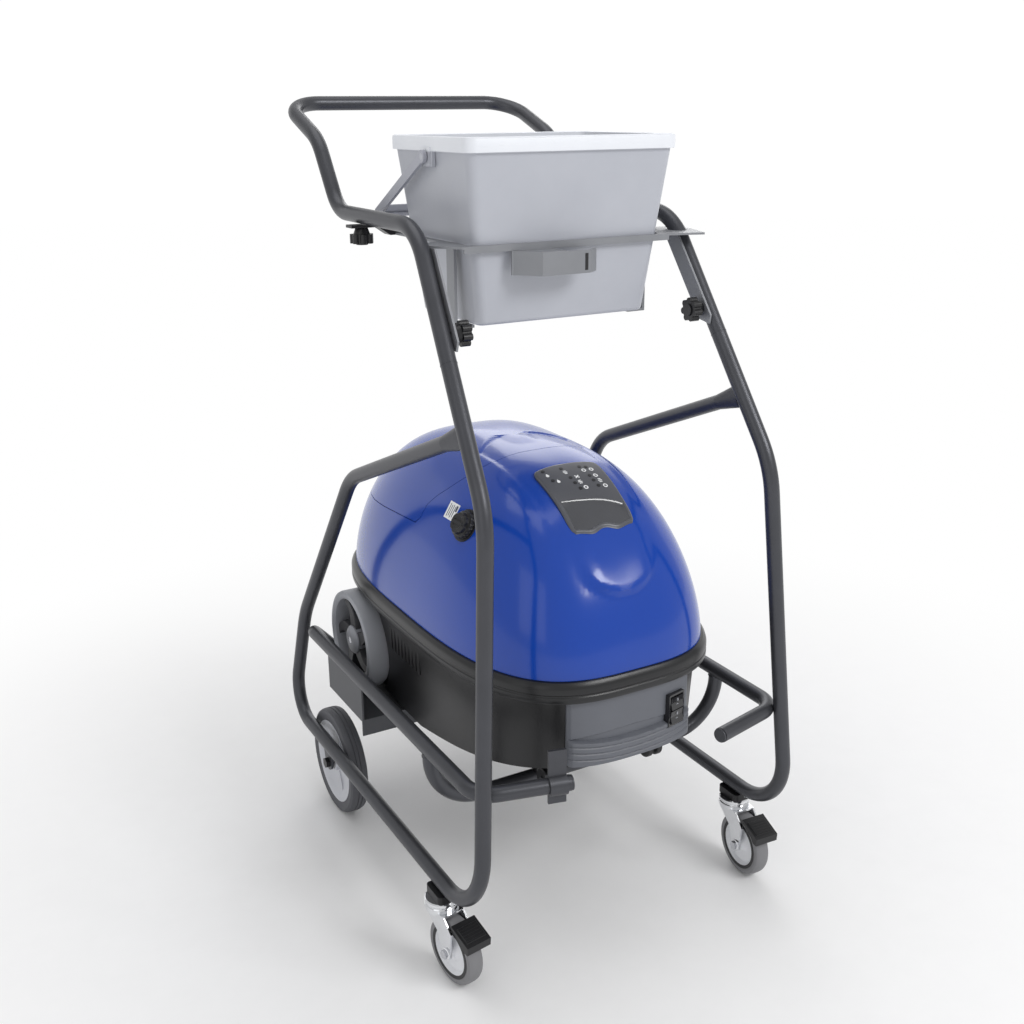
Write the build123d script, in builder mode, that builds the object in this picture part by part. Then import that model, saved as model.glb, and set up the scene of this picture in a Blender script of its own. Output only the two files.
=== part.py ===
from build123d import *
import math
import os

# Steam cleaner on its own tube trolley, with a bucket in a tray under the handle.
# Millimetres. +Z up, floor at z = 0, front (control panel, switch, braked casters) faces -Y,
# push handle at +Y, X across the trolley. Origin: centre of the footprint box on the floor.

os.makedirs("parts", exist_ok=True)

# ---------------------------------------------------------------- driving dimensions
TUBE_D = 22.0            # frame tube outside diameter
TUBE_WALL = 2.0
TR = TUBE_D / 2
BAR_Z = 143.0            # centre height of the bottom bars
BAR_W = 261.0            # half width between the bottom bars' centres
SPLAY = 0.0658           # inward lean of the side frames, mm per mm of height
FRONT_Y = -370.0
JOINT_Z = 866.5          # height where the handle section plugs on
HANDLE_W = 202.8         # half width of the handle section
HANDLE_Y = 370.0         # centre of the push crossbar
HANDLE_Z = 1180.0
RAIL_W, RAIL_Z = 251.0, 324.0
CROSS_Y, CROSS_Z = -201.0, 233.0
REST_Z = 244.5           # surface the machine stands on
SHEET = 3.0
WHEEL_R, WHEEL_T, WHEEL_X, WHEEL_Y = 92.5, 32.0, 231.8, 217.0      # rear trolley wheels
CASTER_R, CASTER_T, CASTER_X, CASTER_Y, TRAIL = 50.0, 25.0, 262.7, -249.0, 33.0
YAW_L, YAW_R = 9.5, -3.3  # how far each caster has swivelled at rest, degrees
# machine body
DOME_A, DOME_BF, DOME_BR, DOME_Z, DOME_H = 196.0, 338.0, 345.0, 446.0, 252.0
DOME_N = 3.18
RING_LOW = 413.0
MW_R, MW_Y, MW_T, MW_OUT = 84.0, 186.0, 40.0, 216.0   # machine's own rear wheels
MW_Z = REST_Z + MW_R
# bucket
BK_X = 4.0               # the bucket sits a little to the right of the middle
BK_W0, BK_YF0, BK_YR0, BK_Z0 = 134.0, -136.0, 38.0, 895.0
BK_W1, BK_YF1, BK_YR1, BK_Z1 = 158.0, -163.0, 65.0, 1118.0
BK_TOP = 1136.0
TRAY_Z = 1000.0          # underside of the tray plate


def half_width(z):
    return BAR_W - SPLAY * (z - BAR_Z)


def lean_y(z):
    """Y of the leaning tube's centre line at a height."""
    return -327.3 + (z - 697.9) * (113.4 / 168.6)


# ================================================================ trolley frame
def direction(a, b):
    return (b[0] - a[0], b[1] - a[1], b[2] - a[2])


def strut_frame(s):
    """Direction of the strut's last run, and a function giving points back along it from the leaning tube."""
    zk = 787.0
    k = (s * half_width(zk), lean_y(zk), zk)
    d = direction((s * half_width(723.8), -110.0, 723.8), k)
    n = math.sqrt(sum(c * c for c in d))
    u = tuple(c / n for c in d)
    return u, lambda t: tuple(k[i] - u[i] * t for i in range(3))


def side_points(s):
    """Centre line of one side frame, from the handle joint round to where the strut flattens."""
    yz = [(lean_y(JOINT_Z), JOINT_Z), (-327.3, 697.9), (FRONT_Y, BAR_Z), (360.0, BAR_Z),
          (306.0, 342.0), (105.0, 636.0)]
    u, at = strut_frame(s)
    return [(s * half_width(z), y, z) for y, z in yz] + [at(52.0)]


SIDE_RADII = [150.0, 95.0, 60.0, 150.0, 100.0]


def swept_tube(points, radii, bore=True):
    """Round tube along straight runs joined by tangent arcs, as one hollow solid."""
    with BuildPart() as tube:
        with BuildLine() as path:
            FilletPolyline(*points, radius=radii)
        start = Plane(origin=points[0], z_dir=direction(points[0], points[1]))
        with BuildSketch(start):
            Circle(TR)
            if bore:
                Circle(TR - TUBE_WALL, mode=Mode.SUBTRACT)
        sweep(path=path.line)
    return tube.part


def strut_end(s):
    """Flattened, flared end of the strut where it is welded to the leaning tube."""
    u, at = strut_frame(s)
    across = (0, u[2], -u[1])
    with BuildPart() as end:
        with BuildSketch(Plane(origin=at(54.0), x_dir=across, z_dir=u)):
            Ellipse(TR + 0.45, TR + 0.3)
        with BuildSketch(Plane(origin=at(9.4), x_dir=across, z_dir=u)):
            Ellipse(17.0, 6.8)
        loft()
    return end.part


left_loop, left_end = swept_tube(side_points(-1), SIDE_RADII), strut_end(-1)
with BuildPart() as side_frame_left:
    add(left_loop)
    add(left_end)
side_frame_left.part.label = "side_frame_left"
export_step(side_frame_left.part, "parts/side_frame_left.step")

with BuildPart() as side_frame_right:
    add(mirror(side_frame_left.part, about=Plane.YZ))
side_frame_right.part.label = "side_frame_right"
export_step(side_frame_right.part, "parts/side_frame_right.step")

# Push handle: plugs on at the joint line, leans back, runs level, rises, and crosses over.
hw = half_width(JOINT_Z)
gap = 0.4
arm = [(hw, lean_y(JOINT_Z + gap), JOINT_Z + gap), (HANDLE_W, lean_y(1027.0), 1027.0),
       (HANDLE_W, 163.0, 1028.0), (HANDLE_W, 234.0, 1128.0), (HANDLE_W, HANDLE_Y, HANDLE_Z)]
handle_points = [(-x, y, z) for x, y, z in arm] + [(x, y, z) for x, y, z in reversed(arm)]
with BuildPart() as handle_tube:
    add(swept_tube(handle_points, [85.0, 60.0, 80.0, 55.0, 55.0, 80.0, 60.0, 85.0]))
handle_tube.part.label = "handle_tube"
export_step(handle_tube.part, "parts/handle_tube.step")

# Solid spigots inside the two joints: they carry the handle on the side frames.
with BuildPart() as handle_spigots:
    for s in (-1, 1):
        low = (s * half_width(JOINT_Z - 42), lean_y(JOINT_Z - 42), JOINT_Z - 42)
        high = (s * half_width(JOINT_Z + 42), lean_y(JOINT_Z + 42), JOINT_Z + 42)
        d = direction(low, high)
        with BuildSketch(Plane(origin=low, z_dir=d)):
            Circle(TR - TUBE_WALL - 0.1)
        extrude(amount=math.sqrt(sum(c * c for c in d)))
handle_spigots.part.label = "handle_spigots"
export_step(handle_spigots.part, "parts/handle_spigots.step")

# Base tube: open stub, rail, dropped rear bend, rail, open stub, all one bent tube.
half_base = [(126.0, -370.0, RAIL_Z), (RAIL_W, -340.0, RAIL_Z), (RAIL_W, 277.0, RAIL_Z), (168.0, 291.0, 231.5)]
base_points = [(-x, y, z) for x, y, z in half_base] + [(x, y, z) for x, y, z in reversed(half_base)]
with BuildPart() as base_tube:
    add(swept_tube(base_points, [40.0, 32.0, 40.0, 40.0, 32.0, 40.0]))
base_tube.part.label = "base_tube"
export_step(base_tube.part, "parts/base_tube.step")

# Front cross tube hangs from the rails in a wide U, its ends coped to the rails.
with BuildPart() as front_cross_tube:
    add(swept_tube([(-RAIL_W, CROSS_Y, RAIL_Z - 4), (-RAIL_W, CROSS_Y, CROSS_Z),
                    (RAIL_W, CROSS_Y, CROSS_Z), (RAIL_W, CROSS_Y, RAIL_Z - 4)], [78.0, 78.0]))
    for s in (-1, 1):
        with BuildSketch(Plane.XZ.offset(-CROSS_Y - 40)):
            with Locations((s * RAIL_W, RAIL_Z)):
                Circle(TR + 0.05)
        extrude(amount=80, mode=Mode.SUBTRACT)
front_cross_tube.part.label = "front_cross_tube"
export_step(front_cross_tube.part, "parts/front_cross_tube.step")

# Plugs in the open stub ends.
with BuildPart() as stub_end_plugs:
    for s in (-1, 1):
        d = direction((RAIL_W, -340.0, 0), (126.0, -370.0, 0))
        n = math.hypot(d[0], d[1])
        u = (s * d[0] / n, d[1] / n, 0)
        end = (s * 126.0, -370.0, RAIL_Z)
        plane = Plane(origin=end, z_dir=u)
        with BuildSketch(plane):
            Circle(TR - 0.6)
        extrude(amount=3.2)
        with BuildSketch(plane):
            Circle(TR - TUBE_WALL - 0.05)
        extrude(amount=-18)
    fillet(stub_end_plugs.edges().filter_by(GeomType.CIRCLE).group_by(SortBy.RADIUS)[-1], 1.0)
stub_end_plugs.part.label = "stub_end_plugs"
export_step(stub_end_plugs.part, "parts/stub_end_plugs.step")

# Rear shelf: folded sheet welded under the rails; the machine's rear wheels stand on it.
with BuildPart() as rear_shelf:
    with BuildSketch(Plane.XZ.offset(-207.0)):
        with Locations((0, REST_Z - SHEET / 2)):
            Rectangle(494.0, SHEET)
        for s in (-1, 1):
            with Locations((s * 245.5, (REST_Z - SHEET + 314.0) / 2)):
                Rectangle(SHEET, 314.0 - REST_Z + SHEET)
    extrude(amount=145.0)
    with BuildSketch(Plane.XZ.offset(-65.0)):
        with Locations((0, 230.5)):
            Rectangle(494.0, 28.0)
    extrude(amount=SHEET)
rear_shelf.part.label = "rear_shelf"
export_step(rear_shelf.part, "parts/rear_shelf.step")

# Hook that turns on the left stub and holds the machine's nose: strap, and eye round the tube.
HOOK_X = -144.0
stub_u = direction((RAIL_W, -340.0, 0), (126.0, -370.0, 0))
stub_n = math.hypot(stub_u[0], stub_u[1])
stub_dir = (-stub_u[0] / stub_n, stub_u[1] / stub_n, 0.0)
hook_y = -340.0 - 30.0 * (RAIL_W + HOOK_X) / 125.0
hook_plane = Plane(origin=(HOOK_X, hook_y, RAIL_Z), x_dir=(0, 0, 1), z_dir=stub_dir)
with BuildPart() as nose_hook:
    with BuildSketch(hook_plane):
        Circle(TR + 3.5)
        with Locations((32.0, 0.0)):
            Rectangle(40.0, 4.5)
        with Locations((-19.0, 0.0)):
            Rectangle(15.0, 4.5)
        Circle(TR + 0.08, mode=Mode.SUBTRACT)
    extrude(amount=12.5, both=True)
nose_hook.part.label = "nose_hook"
export_step(nose_hook.part, "parts/nose_hook.step")


# ================================================================ bucket tray
tray_outline = [(-163.0, -158.0), (165.0, -158.0), (212.0, -174.0), (231.0, -116.0), (236.0, -74.0),
                (190.0, -66.0), (165.0, -60.0), (165.0, 64.0), (-157.0, 64.0), (-157.0, -72.0),
                (-192.4, -92.0), (-192.4, -120.0)]
with BuildPart() as bucket_tray:
    with BuildSketch(Plane.XY.offset(TRAY_Z)):
        with BuildLine():
            Polyline(*tray_outline, close=True)
        make_face()
        with Locations((BK_X, (BK_YF0 + BK_YR0) / 2 - 0.2)):
            RectangleRounded(2 * 150.3, 209.0, 16.0, mode=Mode.SUBTRACT)
    extrude(amount=SHEET)
    # folded front lip
    with BuildSketch(Plane.XY.offset(TRAY_Z - 6.0)):
        with Locations((1.0, -156.5)):
            Rectangle(322.0, SHEET)
    extrude(amount=6.0 + SHEET / 2)
    # hanging bucket stops at both sides, joined to the plate
    for s in (-1, 1):
        with BuildSketch(Plane.XY.offset(903.0 - 14.0)):
            with Locations((BK_X + s * 152.6, -97.0)):
                Rectangle(4.0, 22.0)
        extrude(amount=TRAY_Z + 1 - 903.0 + 14.0)
        with BuildSketch(Plane.XY.offset(903.0 - 14.0)):
            with Locations((BK_X + s * 140.0, -97.0)):
                Rectangle(29.2, 22.0)
        extrude(amount=4.0)
    # narrow plates down the leaning tubes' inner sides, to the clamp knobs
    for s in (-1, 1):
        strap = Plane(origin=(s * 198.4, 0.0, 899.5), x_dir=(0, 1, 0), z_dir=(1, 0, s * SPLAY))
        with BuildSketch(strap):
            with BuildLine():
                Polyline((lean_y(1001.5) - 15.0, 101.8), (lean_y(1001.5) + 17.0, 101.8), (lean_y(884.5) + 15.0, -15.0),
                         (lean_y(884.5) - 8.0, -19.0), (lean_y(893.5) - 17.0, -6.0), close=True)
            make_face()
        extrude(amount=SHEET / 2, both=True)
        with BuildSketch(strap):
            with Locations((-191.4, 0.0)):
                Circle(4.4)
        extrude(amount=10, both=True, mode=Mode.SUBTRACT)
    # clearance for the right leaning tube where the ear reaches past it
    zc = TRAY_Z + SHEET / 2
    for s in (-1, 1):
        low = (s * half_width(zc - 60), lean_y(zc - 60), zc - 60)
        high = (s * half_width(zc), lean_y(zc), zc)
        with BuildSketch(Plane(origin=low, z_dir=direction(low, high))):
            Circle(TR + 0.5)
        extrude(amount=120.0, mode=Mode.SUBTRACT)
bucket_tray.part.label = "bucket_tray"
export_step(bucket_tray.part, "parts/bucket_tray.step")

# Black flat bar across under the two handle arms, behind the bucket.
BAR_Y, BAR_TOP = 79.0, 1015.6
with BuildPart() as rear_cross_bar:
    with BuildSketch(Plane.XZ.offset(-BAR_Y - 11.0)):
        with BuildLine():
            Polyline((-222.0, BAR_TOP), (222.0, BAR_TOP), (222.0, BAR_TOP - 4), (181.0, BAR_TOP - 4),
                     (163.0, BAR_TOP - 16), (-163.0, BAR_TOP - 16), (-181.0, BAR_TOP - 4),
                     (-222.0, BAR_TOP - 4), close=True)
        make_face()
    extrude(amount=22.0)
    with BuildSketch(Plane.XY.offset(BAR_TOP - 10)):
        with Locations((-HANDLE_W, BAR_Y), (HANDLE_W, BAR_Y)):
            Circle(4.4)
    extrude(amount=20, mode=Mode.SUBTRACT)
rear_cross_bar.part.label = "rear_cross_bar"
export_step(rear_cross_bar.part, "parts/rear_cross_bar.step")

# Small holder for a hand tool, hung under the tray's front edge: top plate, side, front, return lip.
with BuildPart() as tool_holder:
    with BuildSketch(Plane.XY.offset(963.0)):
        with BuildLine():
            Polyline((-92.0, -158.4), (-64.0, -193.0), (10.0, -193.0), (28.0, -178.0), (26.3, -175.8),
                     (9.0, -190.4), (-62.8, -190.4), (-88.6, -158.4), close=True)
        make_face()
    extrude(amount=30.0)
    with BuildSketch(Plane.XY.offset(991.5)):
        with BuildLine():
            Polyline((-92.0, -158.4), (-64.0, -193.0), (-28.0, -193.0), (-28.0, -158.4), close=True)
        make_face()
    extrude(amount=2.5)
    with BuildSketch(Plane.XY.offset(963.0)):
        with Locations((-86.5, -159.6)):
            Rectangle(11.0, 2.4)
    extrude(amount=31.0)
tool_holder.part.label = "tool_holder"
export_step(tool_holder.part, "parts/tool_holder.step")


# Clamp knobs: seven lobes on a stepped hub, with the stud that clamps through the plate.
def lobed_knob(plane, stud):
    with BuildPart() as knob:
        with BuildSketch(plane.offset(9.0)):
            Circle(13.0)
            with PolarLocations(12.5, 7):
                Circle(4.6)
        extrude(amount=13.0)
        with BuildSketch(plane.offset(1.0)):
            Circle(9.0)
        with BuildSketch(plane.offset(9.0)):
            Circle(12.0)
        loft()
        with BuildSketch(plane.offset(22.0)):
            Circle(8.5)
        extrude(amount=2.0)
        with BuildSketch(plane.offset(1.0)):
            Circle(3.9)
        extrude(amount=-stud)
    return knob.part


lean_dir = (0.0, 113.4, 168.6)
with BuildPart() as clamp_knob_left:
    add(lobed_knob(Plane(origin=(-196.9, -191.4, 899.5), x_dir=(0, 0, 1), z_dir=(1, 0, 0)), 3.8))
clamp_knob_left.part.label = "clamp_knob_left"
export_step(clamp_knob_left.part, "parts/clamp_knob_left.step")

with BuildPart() as clamp_knob_right:
    add(lobed_knob(Plane(origin=(196.9, -191.4, 899.5), x_dir=(0, 0, 1), z_dir=(-1, 0, 0)), 3.8))
clamp_knob_right.part.label = "clamp_knob_right"
export_step(clamp_knob_right.part, "parts/clamp_knob_right.step")

with BuildPart() as bar_knob_left:
    add(lobed_knob(Plane(origin=(-HANDLE_W, BAR_Y, BAR_TOP - 4), x_dir=(1, 0, 0), z_dir=(0, 0, -1)), 4.7))
bar_knob_left.part.label = "bar_knob_left"
export_step(bar_knob_left.part, "parts/bar_knob_left.step")

with BuildPart() as bar_knob_right:
    add(lobed_knob(Plane(origin=(HANDLE_W, BAR_Y, BAR_TOP - 4), x_dir=(1, 0, 0), z_dir=(0, 0, -1)), 4.7))
bar_knob_right.part.label = "bar_knob_right"
export_step(bar_knob_right.part, "parts/bar_knob_right.step")

# ================================================================ bucket and bail
def bucket_section(z, grow=0.0):
    t = (z - BK_Z0) / (BK_Z1 - BK_Z0)
    w = BK_W0 + (BK_W1 - BK_W0) * t + grow
    yf = BK_YF0 + (BK_YF1 - BK_YF0) * t - grow
    yr = BK_YR0 + (BK_YR1 - BK_YR0) * t + grow
    with BuildSketch(Plane(origin=(BK_X, (yf + yr) / 2, z))) as section:
        RectangleRounded(2 * w, yr - yf, 13.0 + grow)
    return section.sketch


PIVOT_Y, PIVOT_Z = -52.0, 1117.0
bucket_out = [bucket_section(BK_Z0), bucket_section(BK_Z1)]
bucket_in = [bucket_section(BK_Z0 + 3.0, -3.0), bucket_section(BK_Z1, -3.0)]
with BuildPart() as bucket_space:
    loft(sections=bucket_in)
with BuildPart() as bucket:
    loft(sections=bucket_out)
    # rim band
    with BuildSketch(Plane.XY.offset(BK_Z1)):
        with Locations((BK_X, (BK_YF1 + BK_YR1) / 2)):
            RectangleRounded(326.0, 238.0, 16.0)
    extrude(amount=BK_TOP - BK_Z1)
    fillet(bucket.faces().sort_by(Axis.Z)[0].edges(), 6.0)
    # bail bosses just under the rim
    for s in (-1, 1):
        with BuildSketch(Plane(origin=(BK_X + s * 155.5, 0, 0), x_dir=(0, 1, 0), z_dir=(1, 0, 0))):
            with Locations((PIVOT_Y, PIVOT_Z - 6.0)):
                Rectangle(26.0, 24.0)
        extrude(amount=s * 10.0)
        with BuildSketch(Plane(origin=(BK_X + s * 165.0, 0, 0), x_dir=(0, 1, 0), z_dir=(1, 0, 0))):
            with Locations((PIVOT_Y, PIVOT_Z - 6.0)):
                Circle(4.24)
        extrude(amount=s * 7.0)
    # hollow
    add(bucket_space.part, mode=Mode.SUBTRACT)
    with BuildSketch(Plane.XY.offset(BK_Z1 - 0.5)):
        with Locations((BK_X, (BK_YF1 + BK_YR1) / 2)):
            RectangleRounded(2 * (BK_W1 - 3.0), BK_YR1 - BK_YF1 - 6.0, 10.0)
    extrude(amount=30.0, mode=Mode.SUBTRACT)
bucket.part.label = "bucket"
export_step(bucket.part, "parts/bucket.step")

# Bail: flat-sided hoop hanging to the rear at rest.
BAIL_X = 169.5
hoop = [(PIVOT_Y, PIVOT_Z - 6.0), (100.0, 1031.0)]
with BuildPart() as bucket_bail:
    dy, dz = hoop[1][0] - hoop[0][0], hoop[1][1] - hoop[0][1]
    n = math.hypot(dy, dz)
    for s in (-1, 1):
        side = Plane(origin=(BK_X + s * BAIL_X - 2.5, hoop[0][0], hoop[0][1]), x_dir=(0, dy / n, dz / n), z_dir=(1, 0, 0))
        with BuildSketch(side):
            with Locations((n / 2, 0)):
                Rectangle(n, 13.0)
            Circle(8.5)
            Circle(4.3, mode=Mode.SUBTRACT)
        extrude(amount=5.0)
    cross = Plane(origin=(BK_X - BAIL_X - 2.5, hoop[1][0], hoop[1][1]), x_dir=(0, dy / n, dz / n), z_dir=(1, 0, 0))
    with BuildSketch(cross):
        RectangleRounded(18.0, 13.0, 3.0)
    extrude(amount=2 * BAIL_X + 5.0)
bucket_bail.part.label = "bucket_bail"
export_step(bucket_bail.part, "parts/bucket_bail.step")


# ================================================================ rear trolley wheels
def tyre(plane, radius, width, bead):
    with BuildPart() as ring:
        with BuildSketch(plane.offset(-width / 2)):
            Circle(radius)
            Circle(bead, mode=Mode.SUBTRACT)
        extrude(amount=width)
        fillet(ring.edges().filter_by(GeomType.CIRCLE).group_by(SortBy.RADIUS)[-1], min(6.0, width * 0.25))
    return ring.part


def rim(plane, bead, width, bore, out):
    """Dished rim: web on one side, bead flange, hub with a bore for the axle bolt."""
    with BuildPart() as wheel:
        with BuildSketch(plane.offset(-width / 2 + 1.5)):
            Circle(bead)
            Circle(bead - 7.0, mode=Mode.SUBTRACT)
        extrude(amount=width - 3.0)
        with BuildSketch(plane.offset(out * 3.0 - 2.5)):
            Circle(bead - 5.0)
            Circle(bore, mode=Mode.SUBTRACT)
        extrude(amount=5.0)
        with BuildSketch(plane.offset(-width / 2 + 0.5)):
            Circle(17.0)
            Circle(bore, mode=Mode.SUBTRACT)
        extrude(amount=width - 1.0)
    return wheel.part


BEAD = 72.0
left_wheel = Plane(origin=(-WHEEL_X, WHEEL_Y, WHEEL_R), z_dir=(1, 0, 0))
right_wheel = Plane(origin=(WHEEL_X, WHEEL_Y, WHEEL_R), z_dir=(1, 0, 0))
with BuildPart() as rear_tyre_left:
    add(tyre(left_wheel, WHEEL_R, WHEEL_T, BEAD))
rear_tyre_left.part.label = "rear_tyre_left"
export_step(rear_tyre_left.part, "parts/rear_tyre_left.step")
with BuildPart() as rear_tyre_right:
    add(tyre(right_wheel, WHEEL_R, WHEEL_T, BEAD))
rear_tyre_right.part.label = "rear_tyre_right"
export_step(rear_tyre_right.part, "parts/rear_tyre_right.step")
with BuildPart() as rear_rim_left:
    add(rim(left_wheel, BEAD, WHEEL_T, 6.05, -1))
rear_rim_left.part.label = "rear_rim_left"
export_step(rear_rim_left.part, "parts/rear_rim_left.step")
with BuildPart() as rear_rim_right:
    add(rim(right_wheel, BEAD, WHEEL_T, 6.05, 1))
rear_rim_right.part.label = "rear_rim_right"
export_step(rear_rim_right.part, "parts/rear_rim_right.step")

# Bracket plates welded under the bottom bars, just outside the wheels.
with BuildPart() as wheel_brackets:
    for s in (-1, 1):
        with BuildSketch(Plane.YZ.offset(s * 252.5)):
            with BuildLine():
                Polyline((WHEEL_Y - 26, 134.6), (WHEEL_Y + 26, 134.6), (WHEEL_Y + 13, 88.0),
                         (WHEEL_Y - 13, 88.0), close=True)
            make_face()
            with Locations((WHEEL_Y, WHEEL_R)):
                Circle(13.8)
                Circle(6.0, mode=Mode.SUBTRACT)
        extrude(amount=2.0, both=True)
wheel_brackets.part.label = "wheel_brackets"
export_step(wheel_brackets.part, "parts/wheel_brackets.step")

# Axle bolts: shank through plate and hub, hex head outside, washer and nut inside.
with BuildPart() as rear_axle_bolts:
    for s in (-1, 1):
        with BuildSketch(Plane(origin=(s * 214.0, WHEEL_Y, WHEEL_R), z_dir=(s, 0, 0))):
            Circle(6.0)
        extrude(amount=40.6)
        with BuildSketch(Plane(origin=(s * 254.6, WHEEL_Y, WHEEL_R), z_dir=(s, 0, 0))):
            RegularPolygon(9.5, 6)
        extrude(amount=6.5)
        with BuildSketch(Plane(origin=(s * 207.0, WHEEL_Y, WHEEL_R), z_dir=(s, 0, 0))):
            RegularPolygon(9.5, 6)
        extrude(amount=8.0)
rear_axle_bolts.part.label = "rear_axle_bolts"
export_step(rear_axle_bolts.part, "parts/rear_axle_bolts.step")


# ================================================================ front braked casters
def caster_frame(s, yaw):
    """Local frame: origin on the floor under the swivel axis, x across the wheel, y to the rear."""
    c, d = math.cos(math.radians(yaw)), math.sin(math.radians(yaw))
    return Plane(origin=(s * CASTER_X, CASTER_Y, 0), x_dir=(c, d, 0), z_dir=(0, 0, 1))


def local(frame, x, y, z):
    return frame.from_local_coords(Vector(x, y, z))


def across(frame, x, y, z):
    """Plane whose normal runs across the wheel."""
    return Plane(origin=local(frame, x, y, z), x_dir=frame.y_dir, z_dir=frame.x_dir)


with BuildPart() as caster_mounts:
    # dark bracket block under each bottom bar
    for s in (-1, 1):
        with BuildSketch(Plane.XY.offset(120.0)):
            with Locations((s * (CASTER_X - 1.0), CASTER_Y)):
                RectangleRounded(30.0, 44.0, 6.0)
        extrude(amount=11.9)
caster_mounts.part.label = "caster_mounts"
export_step(caster_mounts.part, "parts/caster_mounts.step")


def caster_head():
    with BuildPart() as head:
        for s in (-1, 1):
            with BuildSketch(Plane(origin=(s * CASTER_X, CASTER_Y, 114.5))):
                Circle(24.0)
            extrude(amount=5.3)
            with BuildSketch(Plane(origin=(s * CASTER_X, CASTER_Y, 99.0))):
                Circle(6.0)
            extrude(amount=16.0)
    return head.part


with BuildPart() as caster_heads:
    add(caster_head())
caster_heads.part.label = "caster_heads"
export_step(caster_heads.part, "parts/caster_heads.step")


def caster_fork(frame):
    with BuildPart() as fork:
        with BuildSketch(frame.offset(103.0)):
            Circle(23.0)
        extrude(amount=11.2)
        with BuildSketch(frame.offset(103.0)):
            with Locations((0, -7.0)):
                RectangleRounded(36.0, 44.0, 5.0)
        extrude(amount=3.5)
        for s in (-1, 1):
            x0 = 15.3 if s > 0 else -18.0
            with BuildSketch(across(frame, x0, 0, 0)):
                with BuildLine():
                    Polyline((17.0, 106.0), (-29.0, 106.0), (-46.0, 88.0), (-42.0, 52.0),
                             (-39.0, 42.0), (-27.0, 42.0), (-22.0, 50.0), (-13.0, 78.0), (15.0, 100.0), close=True)
                make_face()
            extrude(amount=2.7)
        with BuildSketch(frame.offset(90.0)):
            Circle(6.07)
        extrude(amount=40.0, mode=Mode.SUBTRACT)
        with BuildSketch(across(frame, -40, -TRAIL, CASTER_R)):
            Circle(4.0)
        extrude(amount=80.0, mode=Mode.SUBTRACT)
    return fork.part


def caster_core(frame):
    with BuildPart() as core:
        with BuildSketch(across(frame, -11.5, -TRAIL, CASTER_R)):
            Circle(36.0)
            Circle(4.05, mode=Mode.SUBTRACT)
        extrude(amount=23.0)
        with BuildSketch(across(frame, -14.2, -TRAIL, CASTER_R)):
            Circle(10.0)
            Circle(4.05, mode=Mode.SUBTRACT)
        extrude(amount=28.4)
    return core.part


def caster_axle(frame):
    with BuildPart() as axle:
        with BuildSketch(across(frame, -18.2, -TRAIL, CASTER_R)):
            Circle(3.98)
        extrude(amount=36.4)
        with BuildSketch(across(frame, -23.0, -TRAIL, CASTER_R)):
            RegularPolygon(7.0, 6)
        extrude(amount=4.9)
        with BuildSketch(across(frame, 18.1, -TRAIL, CASTER_R)):
            RegularPolygon(7.0, 6)
        extrude(amount=4.9)
    return axle.part


def caster_pedal(frame):
    """Brake pedal: turns on a pin across the fork's nose; raised (wheel free) at rest."""
    with BuildPart() as pedal:
        with BuildSketch(across(frame, -20.0, 0, 0)):
            with BuildLine():
                Polyline((-50.0, 106.5), (-88.0, 92.0), (-87.0, 80.0), (-79.0, 81.0), (-73.0, 88.0),
                         (-53.0, 100.5), (-49.5, 102.5), close=True)
            make_face()
        extrude(amount=40.0)
    return pedal.part


left_caster, right_caster = caster_frame(-1, YAW_L), caster_frame(1, YAW_R)
with BuildPart() as caster_fork_left:
    add(caster_fork(left_caster))
caster_fork_left.part.label = "caster_fork_left"
export_step(caster_fork_left.part, "parts/caster_fork_left.step")
with BuildPart() as caster_fork_right:
    add(caster_fork(right_caster))
caster_fork_right.part.label = "caster_fork_right"
export_step(caster_fork_right.part, "parts/caster_fork_right.step")
with BuildPart() as caster_tyre_left:
    add(tyre(across(left_caster, 0, -TRAIL, CASTER_R), CASTER_R, CASTER_T, 36.0))
caster_tyre_left.part.label = "caster_tyre_left"
export_step(caster_tyre_left.part, "parts/caster_tyre_left.step")
with BuildPart() as caster_tyre_right:
    add(tyre(across(right_caster, 0, -TRAIL, CASTER_R), CASTER_R, CASTER_T, 36.0))
caster_tyre_right.part.label = "caster_tyre_right"
export_step(caster_tyre_right.part, "parts/caster_tyre_right.step")
with BuildPart() as caster_core_left:
    add(caster_core(left_caster))
caster_core_left.part.label = "caster_core_left"
export_step(caster_core_left.part, "parts/caster_core_left.step")
with BuildPart() as caster_core_right:
    add(caster_core(right_caster))
caster_core_right.part.label = "caster_core_right"
export_step(caster_core_right.part, "parts/caster_core_right.step")
with BuildPart() as caster_axle_left:
    add(caster_axle(left_caster))
caster_axle_left.part.label = "caster_axle_left"
export_step(caster_axle_left.part, "parts/caster_axle_left.step")
with BuildPart() as caster_axle_right:
    add(caster_axle(right_caster))
caster_axle_right.part.label = "caster_axle_right"
export_step(caster_axle_right.part, "parts/caster_axle_right.step")
with BuildPart() as brake_pedal_left:
    add(caster_pedal(left_caster))
brake_pedal_left.part.label = "brake_pedal_left"
export_step(brake_pedal_left.part, "parts/brake_pedal_left.step")
with BuildPart() as brake_pedal_right:
    add(caster_pedal(right_caster))
brake_pedal_right.part.label = "brake_pedal_right"
export_step(brake_pedal_right.part, "parts/brake_pedal_right.step")


# ================================================================ machine shells
def plan_points(grow, scale=1.0, count=32):
    """Superellipse plan of the machine, grown outward and scaled about its middle."""
    a, bf, br = (DOME_A + grow) * scale, (DOME_BF + grow) * scale, (DOME_BR + grow) * scale
    pts = []
    for i in range(count):
        t = 2 * math.pi * (i + 0.5) / count
        c, s = math.cos(t), math.sin(t)
        x = a * math.copysign(abs(c) ** (2 / DOME_N), c)
        y = (br if s > 0 else bf) * math.copysign(abs(s) ** (2 / DOME_N), s)
        pts.append((x, y))
    return pts


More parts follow.
